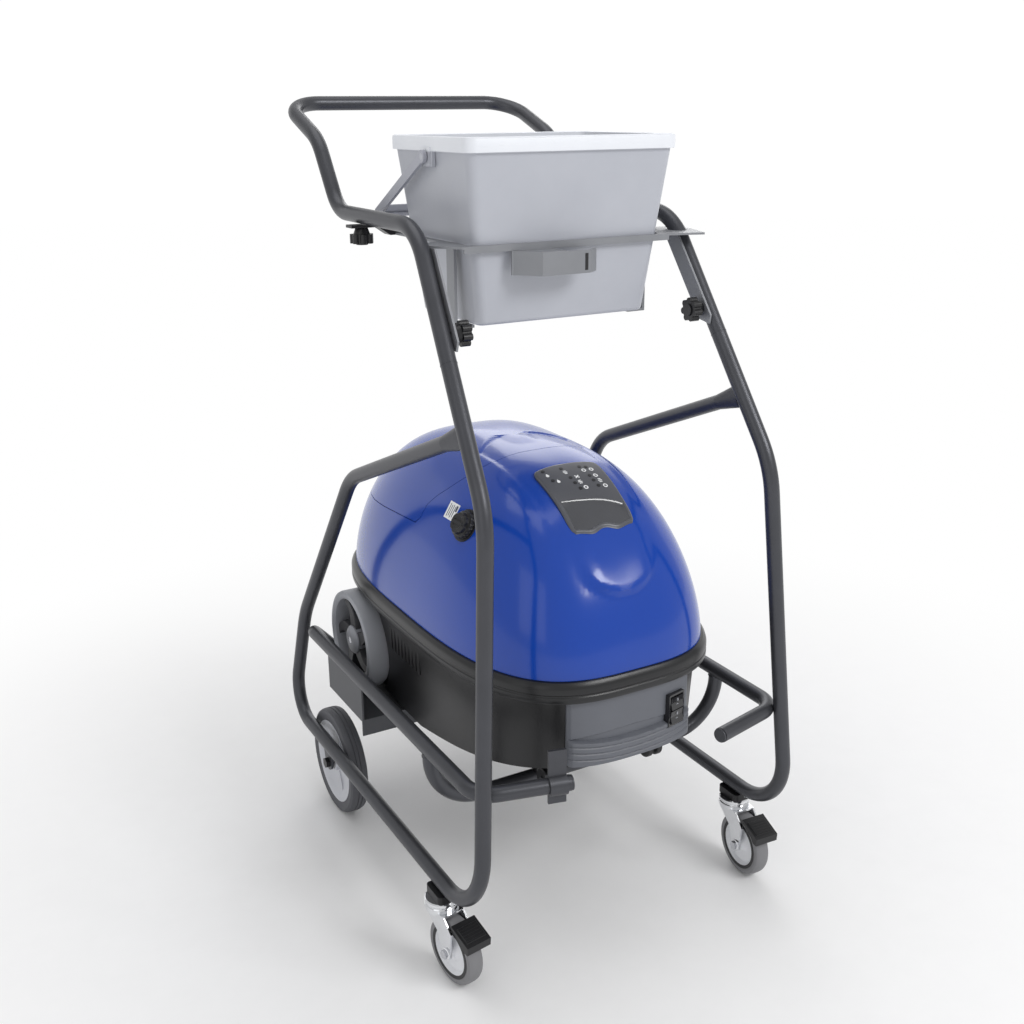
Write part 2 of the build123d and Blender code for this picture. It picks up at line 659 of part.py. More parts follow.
def plan_section(z, grow, scale=1.0):
    with BuildSketch(Plane.XY.offset(z)) as section:
        with BuildLine():
            Spline(*plan_points(grow, scale), periodic=True)
        make_face()
    return section.sketch


def plan_block(levels, ruled=False):
    """Solid through plan sections given as (height, growth)."""
    sections = [plan_section(z, grow) for z, grow in levels]
    with BuildPart() as block:
        loft(sections=sections, ruled=ruled)
    return block.part


DOME_T = [0.0, 14.0, 28.0, 42.0, 55.0, 66.0, 75.0, 82.0]


def dome_solid(grow, low):
    """Solid under the dome surface, offset by grow, down to the height low."""
    sections = [plan_section(low, grow)] if low < DOME_Z else []
    for t in DOME_T:
        a = math.radians(t)
        sections.append(plan_section(DOME_Z + (DOME_H + grow) * math.sin(a) ** 1.25 if t else DOME_Z, grow,
                                     math.cos(a) ** 0.6944))
    with BuildPart() as solid:
        loft(sections=sections)
    return solid.part


# The lid takes the rear and top of the dome, above a seam that rises over the machine's sides.
def lid_prism(gap):
    with BuildPart() as prism:
        with BuildSketch(Plane.YZ):
            with BuildLine():
                Polyline((420.0, 556.0 - gap), (176.0, 570.0 - gap), (84.0, 578.0 - gap), (4.0 - gap, 584.0 - gap),
                         (-4.0 - gap, 612.0), (-35.0 - gap, 641.0), (-56.0 - gap, 661.0), (-76.0 - gap, 684.0),
                         (-80.0 - gap, 760.0), (420.0, 760.0), close=True)
            make_face()
        extrude(amount=260.0, both=True)
    return prism.part


dome_outer = dome_solid(0.0, DOME_Z)
dome_inner = dome_solid(-3.5, DOME_Z - 2.0)
CAP_AT = (-148.0, -120.0, 613.1)
CAP_N = (-0.862, -0.0965, 0.4977)
cap_plane = Plane(origin=CAP_AT, z_dir=CAP_N)

with BuildPart() as dome_shell:
    add(dome_outer)
    add(dome_inner, mode=Mode.SUBTRACT)
    add(lid_prism(0.5), mode=Mode.SUBTRACT)
    with BuildSketch(cap_plane.offset(-30.0)):
        Circle(15.5)
    extrude(amount=60.0, mode=Mode.SUBTRACT)
dome_shell.part.label = "dome_shell"
export_step(dome_shell.part, "parts/dome_shell.step")

with BuildPart() as rear_lid:
    add(dome_outer)
    add(dome_inner, mode=Mode.SUBTRACT)
    add(lid_prism(0.0), mode=Mode.INTERSECT)
rear_lid.part.label = "rear_lid"
export_step(rear_lid.part, "parts/rear_lid.step")

# Bumper ring between dome and housing.
ring_outer = plan_block([(RING_LOW, 3.0), (RING_LOW + 9.0, 8.0), (DOME_Z - 12.0, 8.0), (DOME_Z - 0.2, 1.5)], ruled=True)
ring_inner = plan_block([(RING_LOW - 1.0, -8.0), (DOME_Z + 1.0, -8.0)])
with BuildPart() as bumper_ring:
    add(ring_outer)
    add(ring_inner, mode=Mode.SUBTRACT)
bumper_ring.part.label = "bumper_ring"
export_step(bumper_ring.part, "parts/bumper_ring.step")


# Lower housing: tub with a raised front underside, wheel recesses and a belly skid.
def under_front(drop):
    """Wedge of space under the machine's rising front underside."""
    with BuildPart() as wedge:
        with BuildSketch(Plane.YZ):
            with BuildLine():
                Polyline((40.0, REST_Z - 60.0), (40.0, REST_Z + drop), (-380.0, 320.0 + drop),
                         (-380.0, REST_Z - 60.0), close=True)
            make_face()
        extrude(amount=260.0, both=True)
    return wedge.part


def wheel_recess(radius, inner):
    with BuildPart() as recess:
        for s in (-1, 1):
            with BuildSketch(Plane(origin=(s * inner, MW_Y, MW_Z), z_dir=(s, 0, 0))):
                Circle(radius)
            extrude(amount=80.0)
            with BuildSketch(Plane(origin=(s * (inner + 40.0), MW_Y, MW_Z - radius / 2), z_dir=(s, 0, 0))):
                Rectangle(radius * 2, 2)
            extrude(amount=40.0)
    return recess.part


AXLE_R = 6.0
tub_outer = plan_block([(REST_Z + 10.0, -16.0), (RING_LOW - 0.2, -7.0)])
tub_inner = plan_block([(REST_Z + 13.5, -19.5), (RING_LOW + 1.0, -10.5)])
underside, underside_in = under_front(0.0), under_front(3.5)
recess, recess_in = wheel_recess(MW_R + 6.0, 172.0), wheel_recess(MW_R + 9.5, 168.5)
with BuildPart() as tub_space:
    add(tub_inner)
    add(underside_in, mode=Mode.SUBTRACT)
    add(recess_in, mode=Mode.SUBTRACT)
with BuildPart() as lower_housing:
    add(tub_outer)
    add(underside, mode=Mode.SUBTRACT)
    add(recess, mode=Mode.SUBTRACT)
    add(tub_space.part, mode=Mode.SUBTRACT)
    # belly skid that rests on the front cross tube
    with BuildSketch(Plane.XY.offset(REST_Z)):
        with Locations((0, -145.0)):
            RectangleRounded(170.0, 140.0, 12.0)
    extrude(amount=28.0)
    with BuildSketch(Plane(origin=(-200.0, MW_Y, MW_Z), z_dir=(1, 0, 0))):
        Circle(AXLE_R + 0.1)
    extrude(amount=400.0, mode=Mode.SUBTRACT)
lower_housing.part.label = "lower_housing"
export_step(lower_housing.part, "parts/lower_housing.step")


# Front panel: grey bumper plate on the housing's nose, with a ribbed lower lip.
def nose_band(out0, out1, z0, z1, half):
    outer = plan_block([(z0, out1), (z1, out1)])
    inner = plan_block([(z0 - 1.0, out0), (z1 + 1.0, out0)])
    with BuildPart() as band:
        add(outer)
        add(inner, mode=Mode.SUBTRACT)
        with BuildSketch(Plane.XY.offset(z0 - 1)):
            with Locations((0, -330.0)):
                Rectangle(2 * half, 160.0)
        extrude(amount=z1 - z0 + 2, mode=Mode.INTERSECT)
    return band.part


SW_X, SW_Z = 70.0, 366.0     # switch centre on the panel
panel_upper = nose_band(-6.8, -1.0, 322.0, RING_LOW - 0.6, 101.0)
panel_lip = nose_band(-6.8, 4.0, 312.0, 344.0, 101.0)
underside_clear = under_front(0.4)
with BuildPart() as front_panel:
    add(panel_upper)
    add(panel_lip)
    with BuildSketch(Plane.XZ.offset(260.0)):
        with Locations((SW_X, SW_Z)):
            Rectangle(34.0, 51.0)
    extrude(amount=120.0, mode=Mode.SUBTRACT)
    add(underside_clear, mode=Mode.SUBTRACT)
front_panel.part.label = "front_panel"
export_step(front_panel.part, "parts/front_panel.step")

# Mains switch: black bezel with two rockers, one over the other, square to the nose there.
SW_YAW = 14.0
sw_c, sw_s = math.cos(math.radians(SW_YAW)), math.sin(math.radians(SW_YAW))
sw_plane = Plane(origin=(SW_X, -334.0, SW_Z), x_dir=(sw_c, sw_s, 0), z_dir=(sw_s, -sw_c, 0))
with BuildPart() as switch_bezel:
    with BuildSketch(sw_plane.offset(-6.0)):
        RectangleRounded(32.5, 49.5, 2.5)
    extrude(amount=9.0)
    with BuildSketch(sw_plane.offset(-4.0)):
        Rectangle(26.0, 43.0)
    extrude(amount=20.0, mode=Mode.SUBTRACT)
switch_bezel.part.label = "switch_bezel"
export_step(switch_bezel.part, "parts/switch_bezel.step")


def rocker(dv):
    """Rocker with a shallow V front; it turns on a pin across its middle."""
    with BuildPart() as key:
        mid = sw_plane.origin + sw_plane.y_dir * dv
        side = Plane(origin=mid - sw_plane.x_dir * 12.4, x_dir=sw_plane.z_dir, z_dir=sw_plane.x_dir)
        with BuildSketch(side):
            with BuildLine():
                Polyline((-2.2, -9.0), (4.6, -9.4), (3.2, 0.0), (6.0, 9.4), (-2.2, 9.0), close=True)
            make_face()
        extrude(amount=24.8)
    return key.part


with BuildPart() as rocker_upper:
    add(rocker(10.8))
rocker_upper.part.label = "rocker_upper"
export_step(rocker_upper.part, "parts/rocker_upper.step")
with BuildPart() as rocker_lower:
    add(rocker(-10.8))
rocker_lower.part.label = "rocker_lower"
export_step(rocker_lower.part, "parts/rocker_lower.step")

# Control fascia: thin moulded plate lying on the dome.
with BuildPart() as control_fascia:
    add(dome_solid(1.8, DOME_Z))
    add(dome_solid(0.05, DOME_Z - 2.0), mode=Mode.SUBTRACT)
    with BuildSketch(Plane.XY.offset(560.0)):
        with BuildLine():
            Polyline((-50, -143), (-34, -138), (34, -138), (50, -143), (54, -158), (52, -215), (52, -238),
                     (50, -250), (40, -256), (0, -252), (-40, -256), (-50, -250), (-52, -238), (-52, -215),
                     (-54, -158), close=True)
        make_face()
    extrude(amount=200.0, mode=Mode.INTERSECT)
control_fascia.part.label = "control_fascia"
export_step(control_fascia.part, "parts/control_fascia.step")

# Water cap: ribbed screw cap on the filler opening.
with BuildPart() as water_cap:
    with BuildSketch(cap_plane.offset(-12.0)):
        Circle(13.5)
    extrude(amount=14.0)
    with BuildSketch(cap_plane.offset(1.6)):
        Circle(21.0)
    extrude(amount=5.0)
    with BuildSketch(cap_plane.offset(6.6)):
        Circle(16.5)
    extrude(amount=9.0)
    fillet(water_cap.faces().sort_by(lambda f: (f.center() - cap_plane.origin).dot(cap_plane.z_dir))[-1].edges(), 3.0)
water_cap.part.label = "water_cap"
export_step(water_cap.part, "parts/water_cap.step")


# ================================================================ machine running gear
def spoked_wheel(s):
    with BuildPart() as wheel:
        outer = Plane(origin=(s * (MW_OUT - MW_T), MW_Y, MW_Z), z_dir=(s, 0, 0))
        with BuildSketch(outer):
            Circle(MW_R)
            Circle(MW_R - 13.0, mode=Mode.SUBTRACT)
        extrude(amount=MW_T)
        fillet(wheel.edges().filter_by(GeomType.CIRCLE).group_by(SortBy.RADIUS)[-1], 5.0)
        with BuildSketch(outer.offset(8.0)):
            Circle(24.0)
        extrude(amount=MW_T - 12.0)
        for k in range(3):
            with BuildSketch(outer.offset(12.0)):
                with Locations(Rotation(0, 0, 90 + 120 * k) * Location((0, 0, 0))):
                    with Locations((46.0, 0)):
                        Rectangle(56.0, 22.0)
            extrude(amount=MW_T - 22.0)
        with BuildSketch(outer.offset(-1)):
            Circle(AXLE_R + 0.05)
        extrude(amount=MW_T + 2, mode=Mode.SUBTRACT)
    return wheel.part


with BuildPart() as machine_wheel_left:
    add(spoked_wheel(-1))
machine_wheel_left.part.label = "machine_wheel_left"
export_step(machine_wheel_left.part, "parts/machine_wheel_left.step")
with BuildPart() as machine_wheel_right:
    add(spoked_wheel(1))
machine_wheel_right.part.label = "machine_wheel_right"
export_step(machine_wheel_right.part, "parts/machine_wheel_right.step")

with BuildPart() as machine_axle:
    with BuildSketch(Plane(origin=(-MW_OUT + 2.0, MW_Y, MW_Z), z_dir=(1, 0, 0))):
        Circle(AXLE_R)
    extrude(amount=2 * MW_OUT - 4.0)
machine_axle.part.label = "machine_axle"
export_step(machine_axle.part, "parts/machine_axle.step")

# Small twin casters under the machine's nose.
MC_X, MC_Y, MC_R, MC_TRAIL = 88.0, -246.0, 16.0, 7.0
MC_TOP = REST_Z + (40.0 - MC_Y - 19.0) * (320.0 - REST_Z) / 420.0 - 1.0


def nose_caster_fork(s):
    with BuildPart() as fork:
        with BuildSketch(Plane.XY.offset(MC_TOP - 4.0)):
            with Locations((s * MC_X, MC_Y)):
                Circle(12.0)
        extrude(amount=4.0)
        with BuildSketch(Plane(origin=(s * MC_X - 2.0, MC_Y, 0), x_dir=(0, 1, 0), z_dir=(1, 0, 0))):
            with BuildLine():
                Polyline((8.0, MC_TOP - 2.0), (-12.0, MC_TOP - 2.0), (-12.0, REST_Z + 14.0),
                         (-2.0, REST_Z + 12.0), close=True)
            make_face()
        extrude(amount=4.0)
        with BuildSketch(Plane(origin=(s * MC_X - 15.0, MC_Y - MC_TRAIL, REST_Z + MC_R + 1.0), z_dir=(1, 0, 0))):
            Circle(2.6)
        extrude(amount=30.0)
    return fork.part


def nose_caster_wheels(s):
    with BuildPart() as pair:
        for d in (-1, 1):
            plane = Plane(origin=(s * MC_X + d * 3.0, MC_Y - MC_TRAIL, REST_Z + MC_R + 1.0), z_dir=(d, 0, 0))
            with BuildSketch(plane):
                Circle(MC_R)
                Circle(2.66, mode=Mode.SUBTRACT)
            extrude(amount=10.0)
        fillet(pair.edges().filter_by(GeomType.CIRCLE).group_by(SortBy.RADIUS)[-1], 2.5)
    return pair.part


with BuildPart() as nose_caster_fork_left:
    add(nose_caster_fork(-1))
nose_caster_fork_left.part.label = "nose_caster_fork_left"
export_step(nose_caster_fork_left.part, "parts/nose_caster_fork_left.step")
with BuildPart() as nose_caster_fork_right:
    add(nose_caster_fork(1))
nose_caster_fork_right.part.label = "nose_caster_fork_right"
export_step(nose_caster_fork_right.part, "parts/nose_caster_fork_right.step")
with BuildPart() as nose_caster_wheels_left:
    add(nose_caster_wheels(-1))
nose_caster_wheels_left.part.label = "nose_caster_wheels_left"
export_step(nose_caster_wheels_left.part, "parts/nose_caster_wheels_left.step")
with BuildPart() as nose_caster_wheels_right:
    add(nose_caster_wheels(1))
nose_caster_wheels_right.part.label = "nose_caster_wheels_right"
export_step(nose_caster_wheels_right.part, "parts/nose_caster_wheels_right.step")

# ================================================================ what the machine holds inside
# Boiler: steel vessel with domed ends, lying along Y.
BO_R, BO_Y0, BO_Y1, BO_Z = 72.0, -190.0, 60.0, 370.0
with BuildPart() as boiler:
    with BuildSketch(Plane.YZ):
        with BuildLine():
            Polyline((BO_Y0, BO_Z), (BO_Y0, BO_Z + 40.0), (BO_Y0 + 22.0, BO_Z + BO_R), (BO_Y1 - 22.0, BO_Z + BO_R),
                     (BO_Y1, BO_Z + 40.0), (BO_Y1, BO_Z), (BO_Y1 - 2.5, BO_Z), (BO_Y1 - 2.5, BO_Z + 39.0),
                     (BO_Y1 - 23.0, BO_Z + BO_R - 2.5), (BO_Y0 + 23.0, BO_Z + BO_R - 2.5),
                     (BO_Y0 + 2.5, BO_Z + 39.0), (BO_Y0 + 2.5, BO_Z), close=True)
        make_face()
    revolve(axis=Axis((0, 0, BO_Z), (0, 1, 0)))
    # mounting feet
    with BuildSketch(Plane.XY.offset(291.0)):
        with Locations((0, -130.0), (0, 10.0)):
            Rectangle(60.0, 20.0)
    extrude(amount=14.0)
boiler.part.label = "boiler"
export_step(boiler.part, "parts/boiler.step")

# Heating element: clamp-on band round the boiler.
with BuildPart() as heating_element:
    with BuildSketch(Plane(origin=(0, -90.0, BO_Z), z_dir=(0, 1, 0))):
        Circle(BO_R + 8.0)
        Circle(BO_R + 0.3, mode=Mode.SUBTRACT)
    extrude(amount=50.0)
heating_element.part.label = "heating_element"
export_step(heating_element.part, "parts/heating_element.step")

# Clean-water tank behind the boiler, under the lid.
with BuildPart() as water_tank:
    with BuildSketch(Plane.XY.offset(440.0)):
        with Locations((0, 170.0)):
            RectangleRounded(230.0, 180.0, 25.0)
    extrude(amount=120.0)
    with BuildSketch(Plane.XY.offset(443.0)):
        with Locations((0, 170.0)):
            RectangleRounded(224.0, 174.0, 22.0)
    extrude(amount=114.0, mode=Mode.SUBTRACT)
water_tank.part.label = "water_tank"
export_step(water_tank.part, "parts/water_tank.step")

# Pump on its foot, and the control board.
with BuildPart() as pump:
    with BuildSketch(Plane(origin=(0, 66.0, 330.0), z_dir=(0, 1, 0))):
        Circle(26.0)
    extrude(amount=62.0)
    with BuildSketch(Plane(origin=(0, 140.0, 330.0), z_dir=(0, 1, 0))):
        RectangleRounded(48.0, 48.0, 5.0)
    extrude(amount=32.0)
    with BuildSketch(Plane(origin=(0, 126.0, 330.0), z_dir=(0, 1, 0))):
        Circle(17.0)
    extrude(amount=16.0)
    with BuildSketch(Plane.XY.offset(REST_Z + 14.0)):
        with Locations((0, 97.0)):
            Rectangle(40.0, 50.0)
    extrude(amount=60.0)
pump.part.label = "pump"
export_step(pump.part, "parts/pump.step")

with BuildPart() as control_board:
    with BuildSketch(Plane.XY.offset(560.0)):
        with Locations((0, -150.0)):
            Rectangle(90.0, 110.0)
    extrude(amount=1.6)
    with BuildSketch(Plane.XY.offset(561.0)):
        with Locations((-25.0, -130.0), (20.0, -130.0), (0.0, -175.0)):
            Rectangle(18.0, 14.0)
    extrude(amount=7.0)
control_board.part.label = "control_board"
export_step(control_board.part, "parts/control_board.step")

# Rear fittings: gland for the mains lead and the steam hose socket.
with BuildPart() as mains_gland:
    with BuildSketch(Plane(origin=(-60.0, 331.0, 352.0), z_dir=(0, 1, 0))):
        RegularPolygon(12.0, 6)
    extrude(amount=8.0)
    with BuildSketch(Plane(origin=(-60.0, 339.0, 352.0), z_dir=(0, 1, 0))):
        Circle(9.0)
    with BuildSketch(Plane(origin=(-60.0, 353.0, 352.0), z_dir=(0, 1, 0))):
        Circle(6.5)
    loft()
    with BuildSketch(Plane(origin=(-60.0, 340.0, 352.0), z_dir=(0, 1, 0))):
        Circle(4.2)
    extrude(amount=20.0, mode=Mode.SUBTRACT)
mains_gland.part.label = "mains_gland"
export_step(mains_gland.part, "parts/mains_gland.step")

with BuildPart() as steam_socket:
    with BuildSketch(Plane(origin=(55.0, 331.0, 352.0), z_dir=(0, 1, 0))):
        RectangleRounded(52.0, 52.0, 8.0)
    extrude(amount=6.0)
    with BuildSketch(Plane(origin=(55.0, 336.0, 352.0), z_dir=(0, 1, 0))):
        Circle(19.0)
    extrude(amount=12.0)
    with BuildSketch(Plane(origin=(55.0, 334.0, 352.0), z_dir=(0, 1, 0))):
        Circle(14.0)
    extrude(amount=20.0, mode=Mode.SUBTRACT)
steam_socket.part.label = "steam_socket"
export_step(steam_socket.part, "parts/steam_socket.step")
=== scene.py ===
import math

import bmesh
import bpy
from mathutils import Matrix, Vector


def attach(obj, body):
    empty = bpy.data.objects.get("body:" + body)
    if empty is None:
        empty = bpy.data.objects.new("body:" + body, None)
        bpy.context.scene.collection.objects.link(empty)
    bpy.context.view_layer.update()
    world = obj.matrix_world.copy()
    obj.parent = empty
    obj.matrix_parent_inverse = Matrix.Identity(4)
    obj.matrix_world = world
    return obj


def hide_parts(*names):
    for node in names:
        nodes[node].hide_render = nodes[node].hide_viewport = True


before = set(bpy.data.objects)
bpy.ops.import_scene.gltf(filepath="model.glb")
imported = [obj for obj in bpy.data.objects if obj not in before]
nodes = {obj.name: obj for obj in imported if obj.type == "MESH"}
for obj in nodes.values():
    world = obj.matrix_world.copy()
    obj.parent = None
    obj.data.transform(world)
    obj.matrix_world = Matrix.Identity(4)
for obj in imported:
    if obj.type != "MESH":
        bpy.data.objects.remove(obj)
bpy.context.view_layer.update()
MM = 0.001
scene = bpy.context.scene


# ------------------------------------------------------------------ materials
def new_mat(name):
    m = bpy.data.materials.new(name)
    m.use_nodes = True
    nt = m.node_tree
    for n in list(nt.nodes):
        nt.nodes.remove(n)
    out = nt.nodes.new("ShaderNodeOutputMaterial")
    bsdf = nt.nodes.new("ShaderNodeBsdfPrincipled")
    nt.links.new(bsdf.outputs[0], out.inputs[0])
    return m, nt, bsdf


def noise(nt, scale, detail=3.0, rough=0.6, coord=None):
    tc = nt.nodes.new("ShaderNodeTexCoord")
    n = nt.nodes.new("ShaderNodeTexNoise")
    n.inputs["Scale"].default_value = scale
    n.inputs["Detail"].default_value = detail
    n.inputs["Roughness"].default_value = rough
    nt.links.new(tc.outputs["Object"], n.inputs["Vector"])
    return n


def ramp(nt, src, stops):
    r = nt.nodes.new("ShaderNodeValToRGB")
    e = r.color_ramp.elements
    e[0].position, e[0].color = stops[0][0], (*stops[0][1], 1)
    e[1].position, e[1].color = stops[-1][0], (*stops[-1][1], 1)
    for p, c in stops[1:-1]:
        x = e.new(p)
        x.color = (*c, 1)
    nt.links.new(src, r.inputs[0])
    return r


def bump(nt, bsdf, src, strength, dist):
    b = nt.nodes.new("ShaderNodeBump")
    b.inputs["Strength"].default_value = strength
    b.inputs["Distance"].default_value = dist
    nt.links.new(src, b.inputs["Height"])
    nt.links.new(b.outputs[0], bsdf.inputs["Normal"])
    return b


def surface(name, col, rough, metallic=0.0, var=0.12, grain=900.0, bump_mm=0.05, bump_str=0.25, coat=0.0,
            coat_rough=0.1, broad=14.0, rough_var=0.12, spec=0.5):
    """Finish with broad tone variation, fine grain, roughness variation and a light surface bump."""
    m, nt, b = new_mat(name)
    big = noise(nt, broad, 4.0)
    fine = noise(nt, grain, 2.0)
    mix = nt.nodes.new("ShaderNodeMath")
    mix.operation = "MULTIPLY_ADD"
    nt.links.new(fine.outputs[0], mix.inputs[0])
    mix.inputs[1].default_value = 0.4
    nt.links.new(big.outputs[0], mix.inputs[2])
    lo = tuple(c * (1 - var) for c in col)
    hi = tuple(min(1.0, c * (1 + var)) for c in col)
    r = ramp(nt, mix.outputs[0], [(0.45, lo), (0.70, col), (0.95, hi)])
    nt.links.new(r.outputs[0], b.inputs["Base Color"])
    rr = nt.nodes.new("ShaderNodeMapRange")
    rr.inputs["To Min"].default_value = max(0.02, rough * (1 - rough_var))
    rr.inputs["To Max"].default_value = min(1.0, rough * (1 + rough_var))
    nt.links.new(big.outputs[0], rr.inputs[0])
    nt.links.new(rr.outputs[0], b.inputs["Roughness"])
    b.inputs["Metallic"].default_value = metallic
    b.inputs["Coat Weight"].default_value = coat
    b.inputs["Coat Roughness"].default_value = coat_rough
    b.inputs["Specular IOR Level"].default_value = spec
    if bump_mm:
        bump(nt, b, fine.outputs[0], bump_str, bump_mm * MM)
    return m


M = {}
M["powder"] = surface("powder_grey", (0.066, 0.068, 0.077), 0.36, 0.55, 0.10, 1400, 0.12, 0.35)
M["sheet"] = surface("sheet_grey", (0.240, 0.247, 0.265), 0.42, 0.35, 0.08, 1400, 0.10, 0.30)
M["shelf"] = surface("shelf_dark", (0.075, 0.078, 0.086), 0.48, 0.35, 0.10, 1200, 0.10, 0.30)
M["zinc"] = surface("zinc_plate", (0.62, 0.63, 0.66), 0.24, 1.0, 0.06, 700, 0.05, 0.20)
M["chrome"] = surface("chrome_plate", (0.80, 0.81, 0.83), 0.10, 1.0, 0.04, 500, 0.03, 0.12, broad=30)
M["black_metal"] = surface("black_metal", (0.018, 0.018, 0.020), 0.38, 0.3, 0.15, 1300, 0.08, 0.3)
M["black"] = surface("black_plastic", (0.0075, 0.0075, 0.009), 0.40, 0.0, 0.2, 1500, 0.10, 0.35)
M["housing"] = surface("housing_black", (0.0065, 0.0065, 0.0078), 0.36, 0.0, 0.18, 1300, 0.09, 0.3)
M["ring"] = surface("bumper_black", (0.0065, 0.0068, 0.0082), 0.33, 0.0, 0.18, 900, 0.06, 0.22)
M["panel"] = surface("panel_grey", (0.115, 0.122, 0.142), 0.42, 0.0, 0.05, 1500, 0.06, 0.25)
M["wheel_grey"] = surface("wheel_grey", (0.300, 0.310, 0.340), 0.45, 0.0, 0.06, 900, 0.08, 0.25)
# dark plastic for the nose caster forks; on the machine wheels this finish is painted shade on the spokes
M["fork_dark_and_spoke_shade"] = surface("fork_dark_and_spoke_shade", (0.035, 0.036, 0.041), 0.5, 0.0, 0.12, 900, 0.08, 0.25)
M["blue"] = surface("shell_blue", (0.0008, 0.046, 0.350), 0.20, 0.0, 0.035, 160, 0.02, 0.06, coat=0.25,
                    coat_rough=0.08, broad=5, rough_var=0.25, spec=0.4)
M["tyre_dark"] = surface("tyre_dark", (0.085, 0.087, 0.098), 0.62, 0.0, 0.10, 800, 0.15, 0.4)
M["tyre_light"] = surface("tyre_light", (0.21, 0.21, 0.22), 0.6, 0.0, 0.06, 800, 0.15, 0.35)
M["rim"] = surface("rim_plastic", (0.56, 0.57, 0.61), 0.40, 0.0, 0.05, 800, 0.06, 0.25)
M["core_white"] = surface("core_white", (0.78, 0.79, 0.82), 0.36, 0.0, 0.03, 800, 0.05, 0.2)
M["fascia"] = surface("fascia_grey", (0.085, 0.088, 0.100), 0.34, 0.15, 0.07, 1800, 0.04, 0.25)
M["fascia_dark"] = surface("fascia_window", (0.050, 0.052, 0.060), 0.16, 0.0, 0.12, 400, 0.03, 0.1, coat=0.5)
M["white"] = surface("print_white", (0.82, 0.83, 0.84), 0.5, 0.0, 0.03, 900, 0.03, 0.2)
M["ink"] = surface("print_dark", (0.06, 0.07, 0.10), 0.5, 0.0, 0.1, 900, 0.03, 0.2)
M["gloss_black"] = surface("switch_black", (0.010, 0.010, 0.012), 0.18, 0.0, 0.2, 600, 0.03, 0.15, coat=0.3)
M["steel"] = surface("boiler_steel", (0.56, 0.56, 0.57), 0.30, 1.0, 0.08, 600, 0.06, 0.25)
M["tank"] = surface("tank_plastic", (0.62, 0.66, 0.70), 0.35, 0.0, 0.05, 500, 0.05, 0.2)
M["brass"] = surface("pump_brass", (0.60, 0.42, 0.16), 0.28, 1.0, 0.08, 600, 0.05, 0.2)
M["board"] = surface("board_green", (0.01, 0.13, 0.05), 0.35, 0.0, 0.2, 700, 0.05, 0.2)
M["bail"] = surface("bail_grey", (0.36, 0.37, 0.42), 0.40, 0.0, 0.05, 900, 0.06, 0.25)


def bucket_mat():
    """Lavender-grey body with a white rim, by height, with moulding streaks."""
    m, nt, b = new_mat("bucket_plastic")
    tc = nt.nodes.new("ShaderNodeTexCoord")
    sep = nt.nodes.new("ShaderNodeSeparateXYZ")
    nt.links.new(tc.outputs["Object"], sep.inputs[0])
    mr = nt.nodes.new("ShaderNodeMapRange")
    mr.inputs["From Min"].default_value = 1.1165
    mr.inputs["From Max"].default_value = 1.1185
    nt.links.new(sep.outputs[2], mr.inputs[0])
    big = noise(nt, 7.0, 5.0)
    fine = noise(nt, 1100.0, 2.0)
    low = ramp(nt, big.outputs[0], [(0.3, (0.405, 0.418, 0.465)), (0.55, (0.43, 0.444, 0.49)), (0.8, (0.455, 0.47, 0.515))])
    high = ramp(nt, big.outputs[0], [(0.3, (0.70, 0.72, 0.77)), (0.7, (0.76, 0.78, 0.82))])
    mx = nt.nodes.new("ShaderNodeMix")
    mx.data_type = "RGBA"
    nt.links.new(mr.outputs[0], mx.inputs["Factor"])
    nt.links.new(low.outputs[0], mx.inputs[6])
    nt.links.new(high.outputs[0], mx.inputs[7])
    nt.links.new(mx.outputs[2], b.inputs["Base Color"])
    b.inputs["Roughness"].default_value = 0.38
    bump(nt, b, fine.outputs[0], 0.25, 0.06 * MM)
    return m


M["bucket"] = bucket_mat()

FINISH = {
    "powder": ["stub_end_plugs", "side_frame_left", "side_frame_right", "base_tube", "front_cross_tube", "handle_tube", "wheel_brackets", "nose_hook"],
    "sheet": ["bucket_tray", "tool_holder"],
    "shelf": ["rear_shelf"],
    "zinc": ["handle_spigots", "caster_axle_left", "caster_axle_right", "machine_axle"],
    "chrome": ["caster_heads", "caster_fork_left", "caster_fork_right"],
    "black_metal": ["rear_axle_bolts", "caster_mounts", "rear_cross_bar"],
    "black": ["clamp_knob_left", "clamp_knob_right", "bar_knob_left", "bar_knob_right", "brake_pedal_left",
              "brake_pedal_right", "mains_gland", "steam_socket", "nose_caster_wheels_left",
              "nose_caster_wheels_right"],
    "gloss_black": ["switch_bezel", "rocker_upper", "rocker_lower"],
    "bail": ["bucket_bail"],
    "housing": ["lower_housing"],
    "fork_dark_and_spoke_shade": ["nose_caster_fork_left", "nose_caster_fork_right"],
    "steel": ["boiler", "heating_element"],
    "tank": ["water_tank"], "brass": ["pump"], "board": ["control_board"],
    "bucket": ["bucket"], "blue": ["dome_shell", "rear_lid"], "ring": ["bumper_ring"], "panel": ["front_panel"],
    "fascia": ["control_fascia"], "tyre_dark": ["rear_tyre_left", "rear_tyre_right"],
    "tyre_light": ["caster_tyre_left", "caster_tyre_right"], "rim": ["rear_rim_left", "rear_rim_right"],
    "core_white": ["caster_core_left", "caster_core_right"], "wheel_grey": ["machine_wheel_left", "machine_wheel_right"],
}
FINISH["black"].append("water_cap")
for key, names in FINISH.items():
    for n in names:
        o = nodes[n]
        if not o.material_slots:
            o.data.materials.append(M[key])
        for s in o.material_slots:
            s.link = "OBJECT"
            s.material = M[key]


